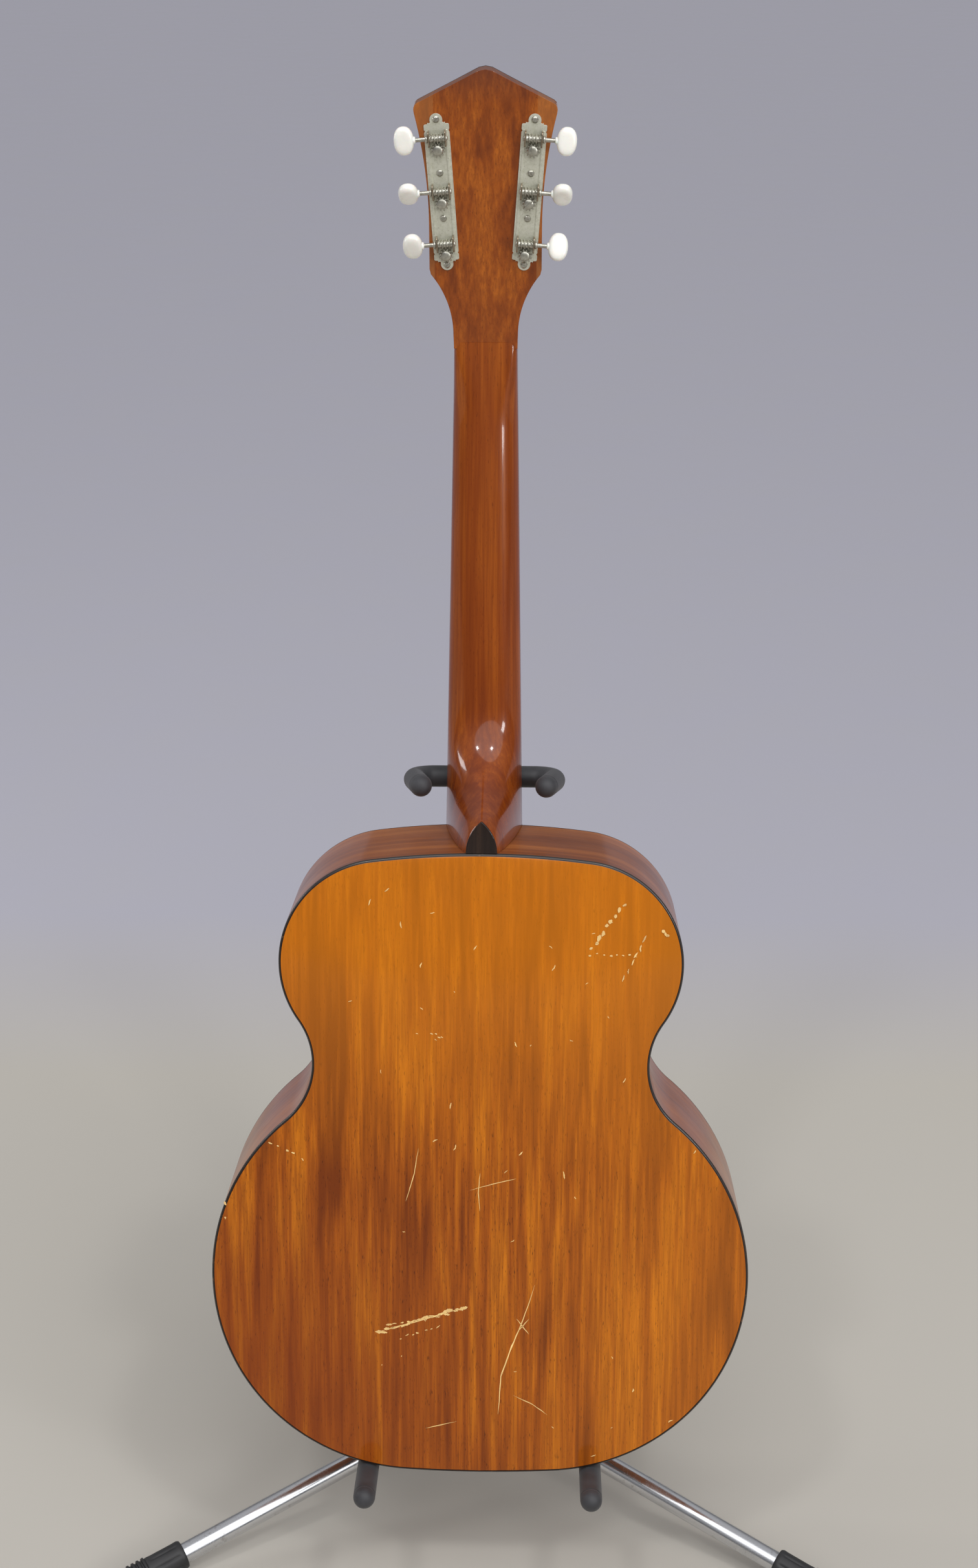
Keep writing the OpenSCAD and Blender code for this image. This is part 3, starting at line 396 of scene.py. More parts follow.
def metal(name, colour, rough, tarnish, spots, coverage=0.5, size=3.0, bump=0.03):
    """Plated or cast metal with clouded tarnish, fine scratches and darker specks."""
    s = Shader(name, Metallic=1.0)
    cloud = s.noise(s.where(), size, 5.0, 0.65)
    fine = s.noise(s.where((1, 1, 0.2)), 0.35, 3.0)
    shade = s.blend(s.ramp(cloud, (0.5 - coverage * 0.2, 0.0), (0.72, 1.0)), colour, tarnish)
    shade = s.blend(s.ramp(s.noise(s.where(), size * 0.35, 4.0, 0.7), (0.60, 0.0), (0.72, 0.8)), shade, spots)
    roughness = s.ramp(s.plus(s.times(cloud, 0.6), s.times(fine, 0.4)),
                       (0.3, rough), (0.7, min(1, rough + 0.25)))
    return s.set(Base_Color=shade, Roughness=roughness, Normal=s.bump(fine, 0.4, bump))


def moulded(name, colour, rough, speckle=0.15, grain=0.5, bump=0.05, **values):
    """Plastic or rubber with a fine moulded grain and slight unevenness."""
    s = Shader(name, **values)
    cloud = s.noise(s.where(), 14, 4.0)
    fine = s.noise(s.where(), grain, 3.0, 0.6)
    other = tuple(min(1.0, c * (1 + speckle * 2.4) + speckle * 0.012) for c in colour)
    shade = s.blend(s.ramp(cloud, (0.3, 0.0), (0.7, 1.0)), colour, other)
    shade = s.blend(s.ramp(fine, (0.55, 0.0), (0.75, speckle)), shade, tuple(c * 0.6 for c in colour))
    roughness = s.ramp(cloud, (0.3, rough), (0.7, min(1, rough + 0.14)))
    return s.set(Base_Color=shade, Roughness=roughness, Normal=s.bump(fine, 0.5, bump))


# the back's tint is painted light and shade: lighter golden shoulders and right side, darker low on the left
mahogany_back = wood("lacquered_mahogany_back", (0.17, 0.033, 0.002), (0.41, 0.098, 0.004),
                     (0.60, 0.175, 0.006), ribbon=15, pores=0.85, gloss=0.26, coat=0.35, tint=back_painted_light)
mahogany_ribs = wood("lacquered_mahogany_ribs", (0.19, 0.050, 0.012), (0.32, 0.092, 0.018),
                     (0.45, 0.145, 0.028), ribbon=26, pores=0.6, gloss=0.30, coat=0.4, attribute="grain_run",
                     along="x")
NECK_TONES = (0.17, 0.034, 0.004), (0.31, 0.070, 0.006), (0.44, 0.115, 0.010)
mahogany_neck = wood("lacquered_mahogany_neck", *NECK_TONES, ribbon=12, pores=0.6, gloss=0.18,
                     coat=0.6, tint=neck_tint)
cap_wood = wood("dark_heel_cap", (0.012, 0.006, 0.004), (0.02, 0.010, 0.007), (0.035, 0.018, 0.011),
                ribbon=6, pores=0.3, gloss=0.22, coat=0.6)
spruce = wood("aged_spruce_top", (0.46, 0.24, 0.085), (0.60, 0.35, 0.13), (0.70, 0.44, 0.18), ribbon=3.0,
              pores=0.12, gloss=0.28, coat=0.5)
raw_spruce = wood("raw_spruce", (0.42, 0.26, 0.12), (0.55, 0.37, 0.19), (0.64, 0.46, 0.26), ribbon=4.0,
                  pores=0.1, gloss=0.6, coat=0.0)
raw_mahogany = wood("raw_mahogany", (0.16, 0.06, 0.03), (0.24, 0.10, 0.05), (0.32, 0.15, 0.08),
                    gloss=0.62, coat=0.0)
rosewood = wood("oiled_rosewood", (0.018, 0.008, 0.005), (0.045, 0.018, 0.010), (0.085, 0.035, 0.018),
                ribbon=4.5, pores=0.8, gloss=0.42, coat=0.05)
veneer_wood = wood("dark_head_veneer", (0.016, 0.008, 0.006), (0.03, 0.014, 0.009), (0.05, 0.024, 0.014),
                   ribbon=7.0, gloss=0.2, coat=0.6)


def worn_binding():
    """Black binding rubbed through to pale wood along short stretches of its edge."""
    s = Shader("worn_dark_binding", Coat_Weight=0.4, Coat_Roughness=0.15)
    rub = s.ramp(s.noise(s.where(), 26, 5.0, 0.75), (0.62, 0.0), (0.68, 0.85))
    fine = s.noise(s.where(), 1.2, 4.0, 0.7)
    black = s.ramp(fine, (0.3, (0.010, 0.007, 0.006)), (0.7, (0.022, 0.015, 0.012)))
    colour = s.blend(s.times(rub, s.ramp(fine, (0.40, 0.0), (0.50, 1.0))), black, (0.30, 0.15, 0.06))
    rough = s.ramp(fine, (0.3, 0.28), (0.7, 0.45))
    return s.set(Base_Color=colour, Roughness=rough, Normal=s.bump(fine, 0.4, 0.06))


binding_black = worn_binding()
chrome = metal("chrome_tube", (0.66, 0.67, 0.69), 0.09, (0.58, 0.59, 0.61), (0.36, 0.34, 0.32),
               0.1, 22.0, 0.004)
nickel = metal("aged_nickel", (0.78, 0.78, 0.68), 0.44, (0.60, 0.60, 0.49), (0.20, 0.16, 0.10),
               0.7, 2.6, 0.05)
nickel_bright = metal("worn_nickel", (0.55, 0.54, 0.48), 0.24, (0.36, 0.35, 0.29), (0.16, 0.13, 0.09),
                      0.6, 2.0, 0.04)
string_bronze = metal("bronze_string", (0.48, 0.34, 0.18), 0.34, (0.36, 0.26, 0.15), (0.2, 0.14, 0.08),
                      0.5, 2.0)
fret_nickel = metal("fret_nickel", (0.62, 0.61, 0.57), 0.25, (0.45, 0.44, 0.40), (0.25, 0.22, 0.18), 0.4, 2.0)
black_cast = moulded("black_casting", (0.018, 0.018, 0.019), 0.36, 0.2, 0.8, 0.06, Coat_Weight=0.1)
black_foam = moulded("black_sleeve", (0.020, 0.020, 0.023), 0.5, 0.35, 0.35, 0.10, Sheen_Weight=0.1)
black_rubber = moulded("foot_rubber", (0.014, 0.014, 0.015), 0.48, 0.3, 0.5, 0.08)
ivory = moulded("white_button_plastic", (0.90, 0.88, 0.82), 0.20, 0.05, 1.5, 0.02, Coat_Weight=0.5,
                Coat_Roughness=0.08, Subsurface_Weight=0.12, Subsurface_Scale=0.002)
bone = moulded("bone", (0.72, 0.65, 0.50), 0.35, 0.12, 0.8, 0.03, Subsurface_Weight=0.08,
               Subsurface_Scale=0.001)
pearl = moulded("pearl", (0.70, 0.70, 0.66), 0.18, 0.3, 1.0, 0.01, Coat_Weight=0.6)
guard = moulded("pickguard_plastic", (0.055, 0.018, 0.010), 0.16, 0.6, 5.0, 0.01, Coat_Weight=0.6,
                Coat_Roughness=0.06)
bare_wood = moulded("bare_dent_wood", (0.66, 0.40, 0.15), 0.55, 0.3, 0.5, 0.04)


# ---------- camera, light, floor

cam = bpy.data.cameras.new("camera")
camera = add_to_scene("camera", cam)
bpy.context.scene.camera = camera
cam.sensor_fit = "AUTO"
cam.sensor_width = 36.0
cam.lens = 51.98
CAM_PITCH, CAM_YAW = radians(25.24), radians(1.15)
camera.matrix_world = (Matrix.Translation((0.0335, -1.4986, 1.2805)) @ Matrix.Rotation(CAM_YAW, 4, "Z")
                       @ Matrix.Rotation(math.pi / 2 - CAM_PITCH, 4, "X"))


def softbox(name, place, target, width, height, watts, colour=(1, 1, 1)):
    light = bpy.data.lights.new(name, "AREA")
    light.shape = "RECTANGLE"
    light.size, light.size_y = width, height
    light.energy, light.color = watts, colour
    lamp = add_to_scene(name, light)
    lamp.location = place
    lamp.rotation_euler = (Vector(target) - Vector(place)).to_track_quat("-Z", "Y").to_euler()


softbox("right_strip", (1.62, -1.55, 1.25), (0, 0, 0.75), 0.32, 0.42, 9)
softbox("left_strip", (-2.0, 0.25, 1.25), (0, 0, 0.7), 0.35, 0.6, 7)
for side in (-1, 1):
    softbox("top_box", (0.05 + side, -1.5, 3.4), (0, 0, 0.5), 0.34, 0.34, 13)
wide = bpy.data.lights.new("wide_light", "SUN")
wide.energy, wide.angle = 1.5, radians(70)
wide_lamp = add_to_scene("wide_light", wide)
wide_lamp.rotation_euler = Vector((-0.35, 1.0, -1.25)).to_track_quat("-Z", "Y").to_euler()

world = bpy.data.worlds.new("studio")
bpy.context.scene.world = world
world.use_nodes = True
tree = world.node_tree
sky = tree.nodes.new("ShaderNodeTexCoord")
split = tree.nodes.new("ShaderNodeSeparateXYZ")
ramp = tree.nodes.new("ShaderNodeValToRGB")
tree.links.new(sky.outputs["Generated"], split.inputs[0])
tree.links.new(split.outputs["Z"], ramp.inputs[0])
tree.links.new(ramp.outputs[0], tree.nodes["Background"].inputs["Color"])
for element, at, tone in zip(ramp.color_ramp.elements, (0.02, 0.75), ((0.20, 0.20, 0.21), (1, 1, 1.03))):
    element.position, element.color = at, (*tone, 1)
tree.nodes["Background"].inputs["Strength"].default_value = 0.5
bpy.context.scene.view_settings.view_transform = "Standard"


def floor_material():
    s = Shader("pale_floor", Specular_IOR_Level=0.2)
    spot = s.node("ShaderNodeTexCoord", {}).outputs["Object"]
    y = s.node("ShaderNodeSeparateXYZ", {"Vector": spot}).outputs["Y"]
    # painted light: the floor lighter and warmer near the stand, cooler and darker from 0.5 m behind it
    painted_light_falloff = s.span(y, 0.5, 0.85)
    colour = s.ramp(painted_light_falloff, (0.0, (0.475, 0.45, 0.405)), (1.0, (0.42, 0.415, 0.475)))
    mottle = s.node("ShaderNodeTexNoise", {"Vector": spot, "Scale": 9.0, "Detail": 6.0}).outputs["Fac"]
    colour = s.blend(s.ramp(mottle, (0.35, 0.0), (0.7, 0.10)), colour, (0.42, 0.41, 0.39))
    rough = s.ramp(mottle, (0.3, 0.62), (0.7, 0.75))
    return s.set(Base_Color=colour, Roughness=rough)


floor_mesh = bpy.data.meshes.new("floor")
FLOOR_HALF = 30.0
floor_mesh.from_pydata([(x, y, 0) for x, y in ((-1, -1), (1, -1), (1, 1), (-1, 1))], [], [(0, 1, 2, 3)])
floor_mesh.transform(Matrix.Scale(FLOOR_HALF, 4))
floor_mesh.materials.append(floor_material())
add_to_scene("floor", floor_mesh)


# ---------- sound box

BACK_CROWN = 2.4                      # height of the back's arch


def build_back():
    """Arched back panel: rows across the outline, denser toward the edge."""
    half = half_outline(BIND_W)
    cols = [math.sin(math.pi / 2 * k / 20) for k in range(-20, 21)]
    n = len(cols)

    def sheet(depth):
        return [(c * max(p.x, 0.02), back_y(p.y) + depth - (BACK_CROWN * (1 - c * c)
                 * math.sin(math.pi * min(1, max(0, p.y / BODY_LEN))) ** 0.5), p.y)
                for p in half for c in cols]
    shape = Shape()
    rows = len(half)
    size = rows * n
    quads = [(r * n + k, r * n + k + 1, (r + 1) * n + k + 1, (r + 1) * n + k)
             for r in range(rows - 1) for k in range(n - 1)]
    edge = ([r * n + n - 1 for r in range(rows)] + [(rows - 1) * n + k for k in range(n - 2, -1, -1)]
            + [r * n for r in range(rows - 2, -1, -1)] + list(range(1, n - 1)))
    rim = [(a, b, b + size, a + size) for a, b in zip(edge, edge[1:] + edge[:1])]
    shape.add(sheet(0) + sheet(BACK_T), quads + [tuple(i + size for i in reversed(q)) for q in quads] + rim)
    return make("back", shape.verts, shape.faces, IN_GUITAR, "guitar", mahogany_back,
                ["back_panel"])


def build_ribs():
    """Bent sides: outer and inner skins between the bindings, with the grain running round the box."""
    outer, inner = full_outline(0), full_outline(RIB_T)
    n = len(outer)
    levels = 10
    verts, runs = [], []
    along = [0.0]
    for a, b in zip(outer, outer[1:]):
        along.append(along[-1] + (b - a).length)
    for skin in (outer, inner):
        order = range(levels + 1) if skin is outer else range(levels, -1, -1)
        for k in order:
            for i, p in enumerate(skin):
                y = mix(-BIND_H - 0.02, back_y(p.y) + BIND_H + 0.02, k / levels)
                verts.append((p.x, y, p.y))
                runs.append((along[i], 0.0, -y))
    rows = 2 * (levels + 1)
    faces = [(k * n + i, k * n + (i + 1) % n, ((k + 1) % rows) * n + (i + 1) % n, ((k + 1) % rows) * n + i)
             for k in range(rows) for i in range(n)]
    return make("ribs_bent", verts, faces, IN_GUITAR, "guitar", mahogany_ribs, ["ribs"],
                runs=runs)


def build_binding():
    """Edge strips with a rounded outer corner, one round the soundboard and one round the back."""
    shape = Shape()
    corner = 1.3
    arc = [(corner * (1 - math.sin(a)), corner * (1 - math.cos(a)))
           for a in (math.pi / 2 * k / 5 for k in range(6))]
    section = [(0.0, BIND_H)] + arc + [(BIND_W, 0.0), (BIND_W, BIND_H)]
    for front in (True, False):
        rings = []
        lines = [full_outline(inset) for inset, _ in section]
        for i in range(len(lines[0])):
            ring = []
            for line, (_, depth) in zip(lines, section):
                p = line[i]
                ring.append((p.x, -depth if front else back_y(p.y) + depth, p.y))
            rings.append(ring)
        shape.rings(rings, loop=True)
    return make("binding_strips", shape.verts, shape.faces, IN_GUITAR, "guitar", binding_black,
                ["binding"], sharp=50)


build_back()
build_ribs()
build_binding()


# ---------- scratches and dents on the back

def build_marks():
    """Slender worn marks in the back's lacquer: ticks, chains of dents, long fine scratches."""
    rng = random.Random(7)
    shape = Shape()

    def surface(x, z, lift):
        half = 170.0
        crown = BACK_CROWN * (1 - min(1, (x / half) ** 2)) * math.sin(math.pi * z / BODY_LEN) ** 0.5
        return (x, back_y(z) - crown - lift, z)

    def sliver(points, width):
        steps, line = 6, []
        for a, b in zip(points, points[1:]):
            line += [(mix(a[0], b[0], k / steps), mix(a[1], b[1], k / steps)) for k in range(steps)]
        line.append(points[-1])
        left, right = [], []
        for i, (x, z) in enumerate(line):
            a, b = line[max(i - 1, 0)], line[min(i + 1, len(line) - 1)]
            d = Vector((b[0] - a[0], b[1] - a[1])).normalized()
            t = i / (len(line) - 1)
            w = width * 1.35 * (0.12 + math.sin(math.pi * t) ** 0.7) * rng.uniform(0.55, 1.0) / 2
            shift = rng.uniform(-0.15, 0.15)
            left.append(surface(x - d.y * (w + shift), z + d.x * (w + shift), 0.07))
            right.append(surface(x + d.y * (w - shift), z - d.x * (w - shift), 0.07))
        n = len(line)
        shape.add(left + right, [(i, i + 1, n + i + 1, n + i) for i in range(n - 1)])

    def tick(x, z, length=5.0, turn=60.0, width=0.8):
        a = radians(turn)
        dx, dz = math.cos(a) * length / 2, math.sin(a) * length / 2
        sliver([(x - dx, z - dz), (x + rng.uniform(-0.6, 0.6), z), (x + dx, z + dz)], width)

    def chain(start, end, count, length=3.0, width=1.2):
        turn = math.degrees(math.atan2(end[1] - start[1], end[0] - start[0]))
        for k in range(count):
            t = k / (count - 1)
            tick(mix(start[0], end[0], t) + rng.uniform(-1, 1), mix(start[1], end[1], t) + rng.uniform(-1, 1),
                 length * rng.uniform(0.5, 1.3), turn + rng.uniform(-25, 25), width * rng.uniform(0.5, 1.2))

    for x, z, length, turn in ((-78, 431, 5, 70), (-66, 440, 4, 40), (-56, 415, 5, 100), (-42, 386, 4, 75),
                               (-4, 399, 4, 60), (51, 385, 5, 60), (25, 329, 4, 110), (-21, 283, 5, 80),
                               (-32, 257, 4, 30), (-18, 252, 5, 70), (29, 248, 4, 50), (60, 232, 6, 100),
                               (127, 87, 3, 10), (139, 90, 3, 60), (102, 155, 4, 30), (137, 164, 4, 130),
                               (168, 215, 4, 90), (153, 250, 3, 60), (102, 303, 4, 60), (166, 110, 3, 90),
                               (140, 43, 4, 30), (112, 67, 3, 80), (84, 15, 4, 20)):
        tick(x, z, length, turn, 0.7)
    chain((100, 431), (77, 399), 9, 4.0, 2.0)
    chain((77, 395), (109, 394), 8, 1.6, 1.0)
    chain((114, 406), (101, 378), 6, 4.5, 0.9)
    chain((128, 412), (130, 409), 3, 3.0, 2.4)
    chain((-149, 254), (-128, 242), 5, 2.6, 1.1)
    chain((-34, 337), (-28, 333), 4, 2.0, 0.7)
    chain((-183, 206), (-182, 186), 3, 3.0, 1.0)
    chain((-72, 111), (-12, 130), 12, 7.0, 1.9)
    chain((-66, 116), (-24, 124), 9, 4.0, 1.2)
    chain((-58, 106), (-30, 115), 7, 3.0, 1.0)
    sliver([(-72, 111), (-45, 119), (-12, 130)], 0.9)
    sliver([(-44, 251), (-47, 232), (-53, 211)], 0.5)
    sliver([(0, 233), (-1, 218), (0, 204)], 0.5)
    sliver([(-7, 220), (10, 225), (26, 229)], 0.5)
    sliver([(40, 148), (32, 122), (22, 96), (16, 77), (14, 47)], 0.8)
    sliver([(27, 122), (36, 110)], 0.6)
    sliver([(36, 122), (28, 112)], 0.5)
    sliver([(25, 62), (38, 56), (50, 47)], 0.5)
    sliver([(-16, 41), (-39, 35)], 0.5)
    for _ in range(26):
        z = rng.uniform(20, 440)
        tick(rng.uniform(-1, 1) * (150 if z < 220 else 100), z, rng.uniform(1, 3.5),
             rng.uniform(0, 180), 0.45)
    make("back_marks", shape.verts, shape.faces, IN_GUITAR, "guitar", bare_wood)


build_marks()


# ---------- neck, heel and head

HEEL_D = DEPTH_NECK - 2.5
CAP_W, CAP_LEN, HEEL_RUN = 22.0, 23.0, 77.0
CAP_R = (CAP_W ** 2 / 4 + CAP_LEN ** 2) / CAP_W
HEEL_POWER = 3.4


def neck_half(z):
    return mix(HEEL_W, NUT_W, (z - BODY_LEN) / (NUT_Z - BODY_LEN)) / 2


def sweep_of(z):
    if z < BODY_LEN + CAP_LEN:
        return 1.0
    return (1 - min(1, (z - BODY_LEN - CAP_LEN) / HEEL_RUN)) ** HEEL_POWER


def cap_half(z):
    h = max(0.0, z - BODY_LEN)
    return 0.0 if h >= CAP_LEN else math.sqrt(CAP_R ** 2 - h * h) - CAP_R + CAP_W / 2


def neck_section(z, n=20):
    """D-shaped section, pointed through the heel and squarer where it meets the head."""
    w = neck_half(z)
    d = mix(mix(17.5, 14.6, (z - BODY_LEN) / (NUT_Z - BODY_LEN)), HEEL_D, sweep_of(z))
    flat = max(0.4, cap_half(z))
    power = (mix(1, 1.55, ease(sweep_of(z) * 1.6)) if z < NUT_Z - 60
             else mix(1, 0.3, ease((z - NUT_Z + 60) / 58)))
    turns = [math.pi / 2 * i / n for i in range(n + 1)]
    right = [(flat + (w - flat) * max(0, math.cos(t)) ** power, -d * math.sin(t) ** power, z) for t in turns]
    return right + [(-x, y, z) for x, y, z in reversed(right)]


SWEEP_R, SWEEP_Z, WAIST_X, SIDE_R, SIDE_Z = 65.7, 8.0, 38.4, 296.0, 84.0
CROWN_X, CROWN_Z = 47.9, HEAD_LEN - 23.5


def head_outline():
    """Closed outline of the head, from the nut up the right side, over the peaked crown and back."""
    half = [(NUT_W / 2, -2.0), (NUT_W / 2 + 0.1, 3.0)]
    half += [(NUT_W / 2 + 0.3 + SWEEP_R - math.sqrt(SWEEP_R ** 2 - (42 * i / 20) ** 2), SWEEP_Z + 42 * i / 20)
             for i in range(21)]
    half += [(WAIST_X - 0.5, 51.6), (WAIST_X, 53.5)]
    for i in range(13):
        z = SIDE_Z + (CROWN_Z - 5 - SIDE_Z) * i / 12
        half.append((WAIST_X + SIDE_R - math.sqrt(SIDE_R ** 2 - (z - SIDE_Z) ** 2), z))
    half += [(CROWN_X + 0.1, CROWN_Z - 2.6), (CROWN_X - 0.15, CROWN_Z - 0.9), (CROWN_X - 0.9, CROWN_Z + 0.6),
             (CROWN_X - 2.4, CROWN_Z + 1.8)]
    half += [(15, HEAD_LEN - 6.3), (9, HEAD_LEN - 3.2), (4.5, HEAD_LEN - 0.9), (0, HEAD_LEN)]
    return half + [(-x, z) for x, z in half[-2::-1]]


def drill(piece, tools):
    """Cuts the tool meshes out of a piece for good."""
    for tool in tools:
        cut = piece.modifiers.new("drill", "BOOLEAN")
        cut.operation, cut.object, cut.solver = "DIFFERENCE", tool, "EXACT"
    bpy.context.view_layer.update()
    graph = bpy.context.evaluated_depsgraph_get()
    mesh = bpy.data.meshes.new_from_object(piece.evaluated_get(graph))
    piece.modifiers.clear()
    piece.data = mesh
    for tool in tools:
        bpy.data.objects.remove(tool)
    mesh.set_sharp_from_angle(angle=radians(30))


def post_tool(side, along, radius):
    shape = Shape()
    shape.lathe([(radius, -30), (radius, 10)], Matrix.Rotation(-math.pi / 2, 4, "X"), 32)
    mesh = bpy.data.meshes.new("drill_tool")
    place = on_plate(side, along)
    mesh.from_pydata([place @ Vector(v) for v in shape.verts], [], shape.faces)
    face_outward(mesh)
    return add_to_scene("drill_tool", mesh)


def build_neck():
    shape = Shape()
    levels = ([BODY_LEN + CAP_LEN * i / 10 for i in range(11)]
              + [BODY_LEN + CAP_LEN + HEEL_RUN * (i / 36) ** 1.2 for i in range(1, 37)]
              + [mix(BODY_LEN + CAP_LEN + HEEL_RUN, NUT_Z - 60, i / 16) for i in range(1, 17)]
              + [mix(NUT_Z - 60, NUT_Z - 1, i / 22) for i in range(1, 23)])
    shape.rings([neck_section(z) for z in levels])
    make("neck_shaft", shape.verts, shape.faces, IN_GUITAR, "guitar", mahogany_neck,
         ["neck"], sharp=40)
    head = Shape()
    head.slab(head_outline(), -HEAD_T, 0.0)
    piece = make("head_plate", head.verts, head.faces, IN_HEAD, "guitar", mahogany_head,
                 sharp=30)
    drill(piece, [post_tool(s, k * POST_GAP, 4.25) for s in (-1, 1) for k in (-1, 0, 1)])
    bevel(piece, 0.8, 3, 40)


def head_wings_and_dark_top(s, colour):
    """Lighter glued wings outside the middle strip; the head darker toward its top end."""
    wing = s.span(s.math("ABSOLUTE", s.part("X")), 34.6, 35.0)
    colour = s.blend(s.times(wing, 0.35), colour, (0.42, 0.17, 0.05))
    top = zone(s, "Z", NUT_Z + 155, NUT_Z + 176)
    return s.blend(s.times(top, 0.5), colour, (0.10, 0.03, 0.02))


mahogany_head = wood("lacquered_mahogany_head", *NECK_TONES, ribbon=12, pores=0.6, gloss=0.20, coat=0.5,
                     tint=neck_tint, overlay=head_wings_and_dark_top)


def build_heel_cap():
    levels = [CAP_LEN * i / 14 for i in range(15)]
    half = [(math.sqrt(CAP_R ** 2 - h * h) - CAP_R + CAP_W / 2, BODY_LEN + 0.05 + h) for h in levels]
    outline = half + [(-x, z) for x, z in half[-2::-1]]
    shape = Shape()
    shape.slab(outline, -HEEL_D - 2.48, -HEEL_D - 0.02)
    bevel(make("heel_cap_arch", shape.verts, shape.faces, IN_GUITAR, "guitar", cap_wood,
               ["heel_cap"], sharp=30), 0.7, 3, 40)


build_neck()
build_heel_cap()


# ---------- tuners

PLATE_L, PLATE_W, EAR = 91.0, 17.0, 6.9
BUTTON_TURNS = (0, 42, 25, -6, 40, -24)
SLOT_TURNS = (-45, -90, -45, -112, -45)
BUTTON_IN, BUTTON_L, BUTTON_H, BUTTON_T = 15.4, 13.6, 19.0, 7.4
SHAFT_CORE, THREAD_TIP, THREAD_ROOT = 1.6, 3.45, 2.3


def tuner_side(n):
    return -1 if n <= 3 else 1


def tuner_along(n):
    return POST_GAP * (2 - n if n <= 3 else 5 - n)


def plate_outline():
    """Plate with small square shoulders, scalloped necks and a round lobe at each end."""
    lobe_r, lobe_z = 4.3, PLATE_L / 2 + EAR - 4.3
    half_w, half_l = PLATE_W / 2, PLATE_L / 2
    side = [(half_w, half_l - 5.5), (half_w - 0.7, half_l - 4.6), (half_w, half_l - 3.6),
            (half_w, half_l - 0.6), (half_w - 0.6, half_l), (6.0, half_l + 0.1), (5.95, half_l + 1.15),
            (5.3, half_l + 0.75), (4.7, half_l + 0.85)]
    lobe = [(lobe_r * math.cos(a), lobe_z + lobe_r * math.sin(a))
            for a in (mix(-0.33, math.pi + 0.33, k / 20) for k in range(21))]
    end = side + lobe + [(-x, z) for x, z in reversed(side)]
    return end + [(-x, -z) for x, z in end]


def build_plates():
    """Both plates: lobed sheet, two long raised steps, and folded tabs that carry the worms."""
    sheet, tabs = Shape(), Shape()
    top, corner, half_tab = GEAR_Y - 3.6, 1.6, 5.2
    ear = [(PLATE_Y, -half_tab), (top + corner, -half_tab)]
    ear += [(top + corner - corner * math.sin(a), corner - half_tab - corner * math.cos(a))
            for a in (math.pi / 8 * j for j in range(1, 5))]
    ear += [(y, -z) for y, z in reversed(ear)]
    for s in (-1, 1):
        place = on_plate(s, PLATE_MID)
        lines = plate_outline()

        def put(shape, part, at):
            shape.add([at @ Vector(v) for v in part.verts], part.faces)
        flat = Shape()
        flat.slab(lines, PLATE_Y, -HEAD_T)
        for e in (-1, 1):
            for inner, width, lift in ((5.15, 2.3, 0.25), (5.6, 1.4, 0.5)):
                x0 = e * inner
                x1 = e * (inner + width)
                step = [(x0, -PLATE_L / 2 + 4), (x1, -PLATE_L / 2 + 4), (x1, PLATE_L / 2 - 4),
                        (x0, PLATE_L / 2 - 4)]
                flat.slab(rounded(step, 0.5, 3), PLATE_Y - lift, PLATE_Y + 0.2)
        put(sheet, flat, place)
        for k in (-1, 0, 1):
            at = on_plate(s, k * POST_GAP + WORM_GAP)
            for e in (-1, 1):
                fold = Shape()
                for x in (5.1, 6.1):
                    fold.verts += [(e * x, y, z) for y, z in ear]
                n = len(ear)
                fold.faces = ([(i, (i + 1) % n, n + (i + 1) % n, n + i) for i in range(n)]
                              + [tuple(range(n)), tuple(range(2 * n - 1, n - 1, -1))])
                put(tabs, fold, at)
    plate = make("tuner_plate_pair", sheet.verts, sheet.faces, Matrix(), "guitar", nickel,
                 ["tuner_plates"], sharp=30)
    bevel(plate, 0.16, 2, 40)
    folded = make("tuner_tabs", tabs.verts, tabs.faces, Matrix(), "guitar", nickel_tabs,
                  sharp=30)
    bevel(folded, 0.22, 2, 40)


nickel_tabs = metal("browned_nickel", (0.40, 0.36, 0.28), 0.30, (0.22, 0.15, 0.09), (0.10, 0.06, 0.04),
                    0.9, 2.0)


def build_worm(n):
    """Shaft with a collar and a round-flanked helical thread, along x of its plate frame."""
    place = on_plate(tuner_side(n), tuner_along(n)) @ Matrix.Translation((0, GEAR_Y, WORM_GAP))
    shape = Shape()
    shape.lathe([(1.2, -7.0), (SHAFT_CORE, -6.6), (SHAFT_CORE, -4.95), (2.5, -4.9), (THREAD_ROOT, -4.3),
                 (THREAD_ROOT, 4.3), (2.5, 4.9), (SHAFT_CORE, 4.95), (SHAFT_CORE, 6.2), (2.3, 6.25),
                 (2.5, 6.5), (2.5, 7.5), (2.3, 7.8), (SHAFT_CORE, 7.9), (1.45, 12), (1.45, BUTTON_IN - 1)],
                ALONG_X, 36)
    lead = 2 * math.pi * PITCH_R / TEETH
    half_turns, per_turn = 4.2 / lead, 36
    profile = [(-0.72, THREAD_ROOT - 0.25), (-0.45, THREAD_TIP - 0.5), (-0.22, THREAD_TIP - 0.06),
               (0.0, THREAD_TIP), (0.22, THREAD_TIP - 0.06), (0.45, THREAD_TIP - 0.5),
               (0.72, THREAD_ROOT - 0.25)]
    count = int(2 * half_turns * per_turn)
    rings = []
    for k in range(count + 1):
        f = (k - count / 2) / per_turn
        a = 2 * math.pi * f
        fade = min(1, (count / 2 - abs(k - count / 2)) / 6 + 0.15)
        rings.append([(f * lead + dx, (THREAD_ROOT - 0.3 + (r - THREAD_ROOT + 0.3) * fade) * math.sin(a),
                       -(THREAD_ROOT - 0.3 + (r - THREAD_ROOT + 0.3) * fade) * math.cos(a))
                      for dx, r in profile])
    shape.rings(rings)
    make(f"worm_{n}", shape.verts, shape.faces, place, f"tuner_{n}_knob", nickel_bright,
         [f"tuner_worm_{n}"], sharp=50)


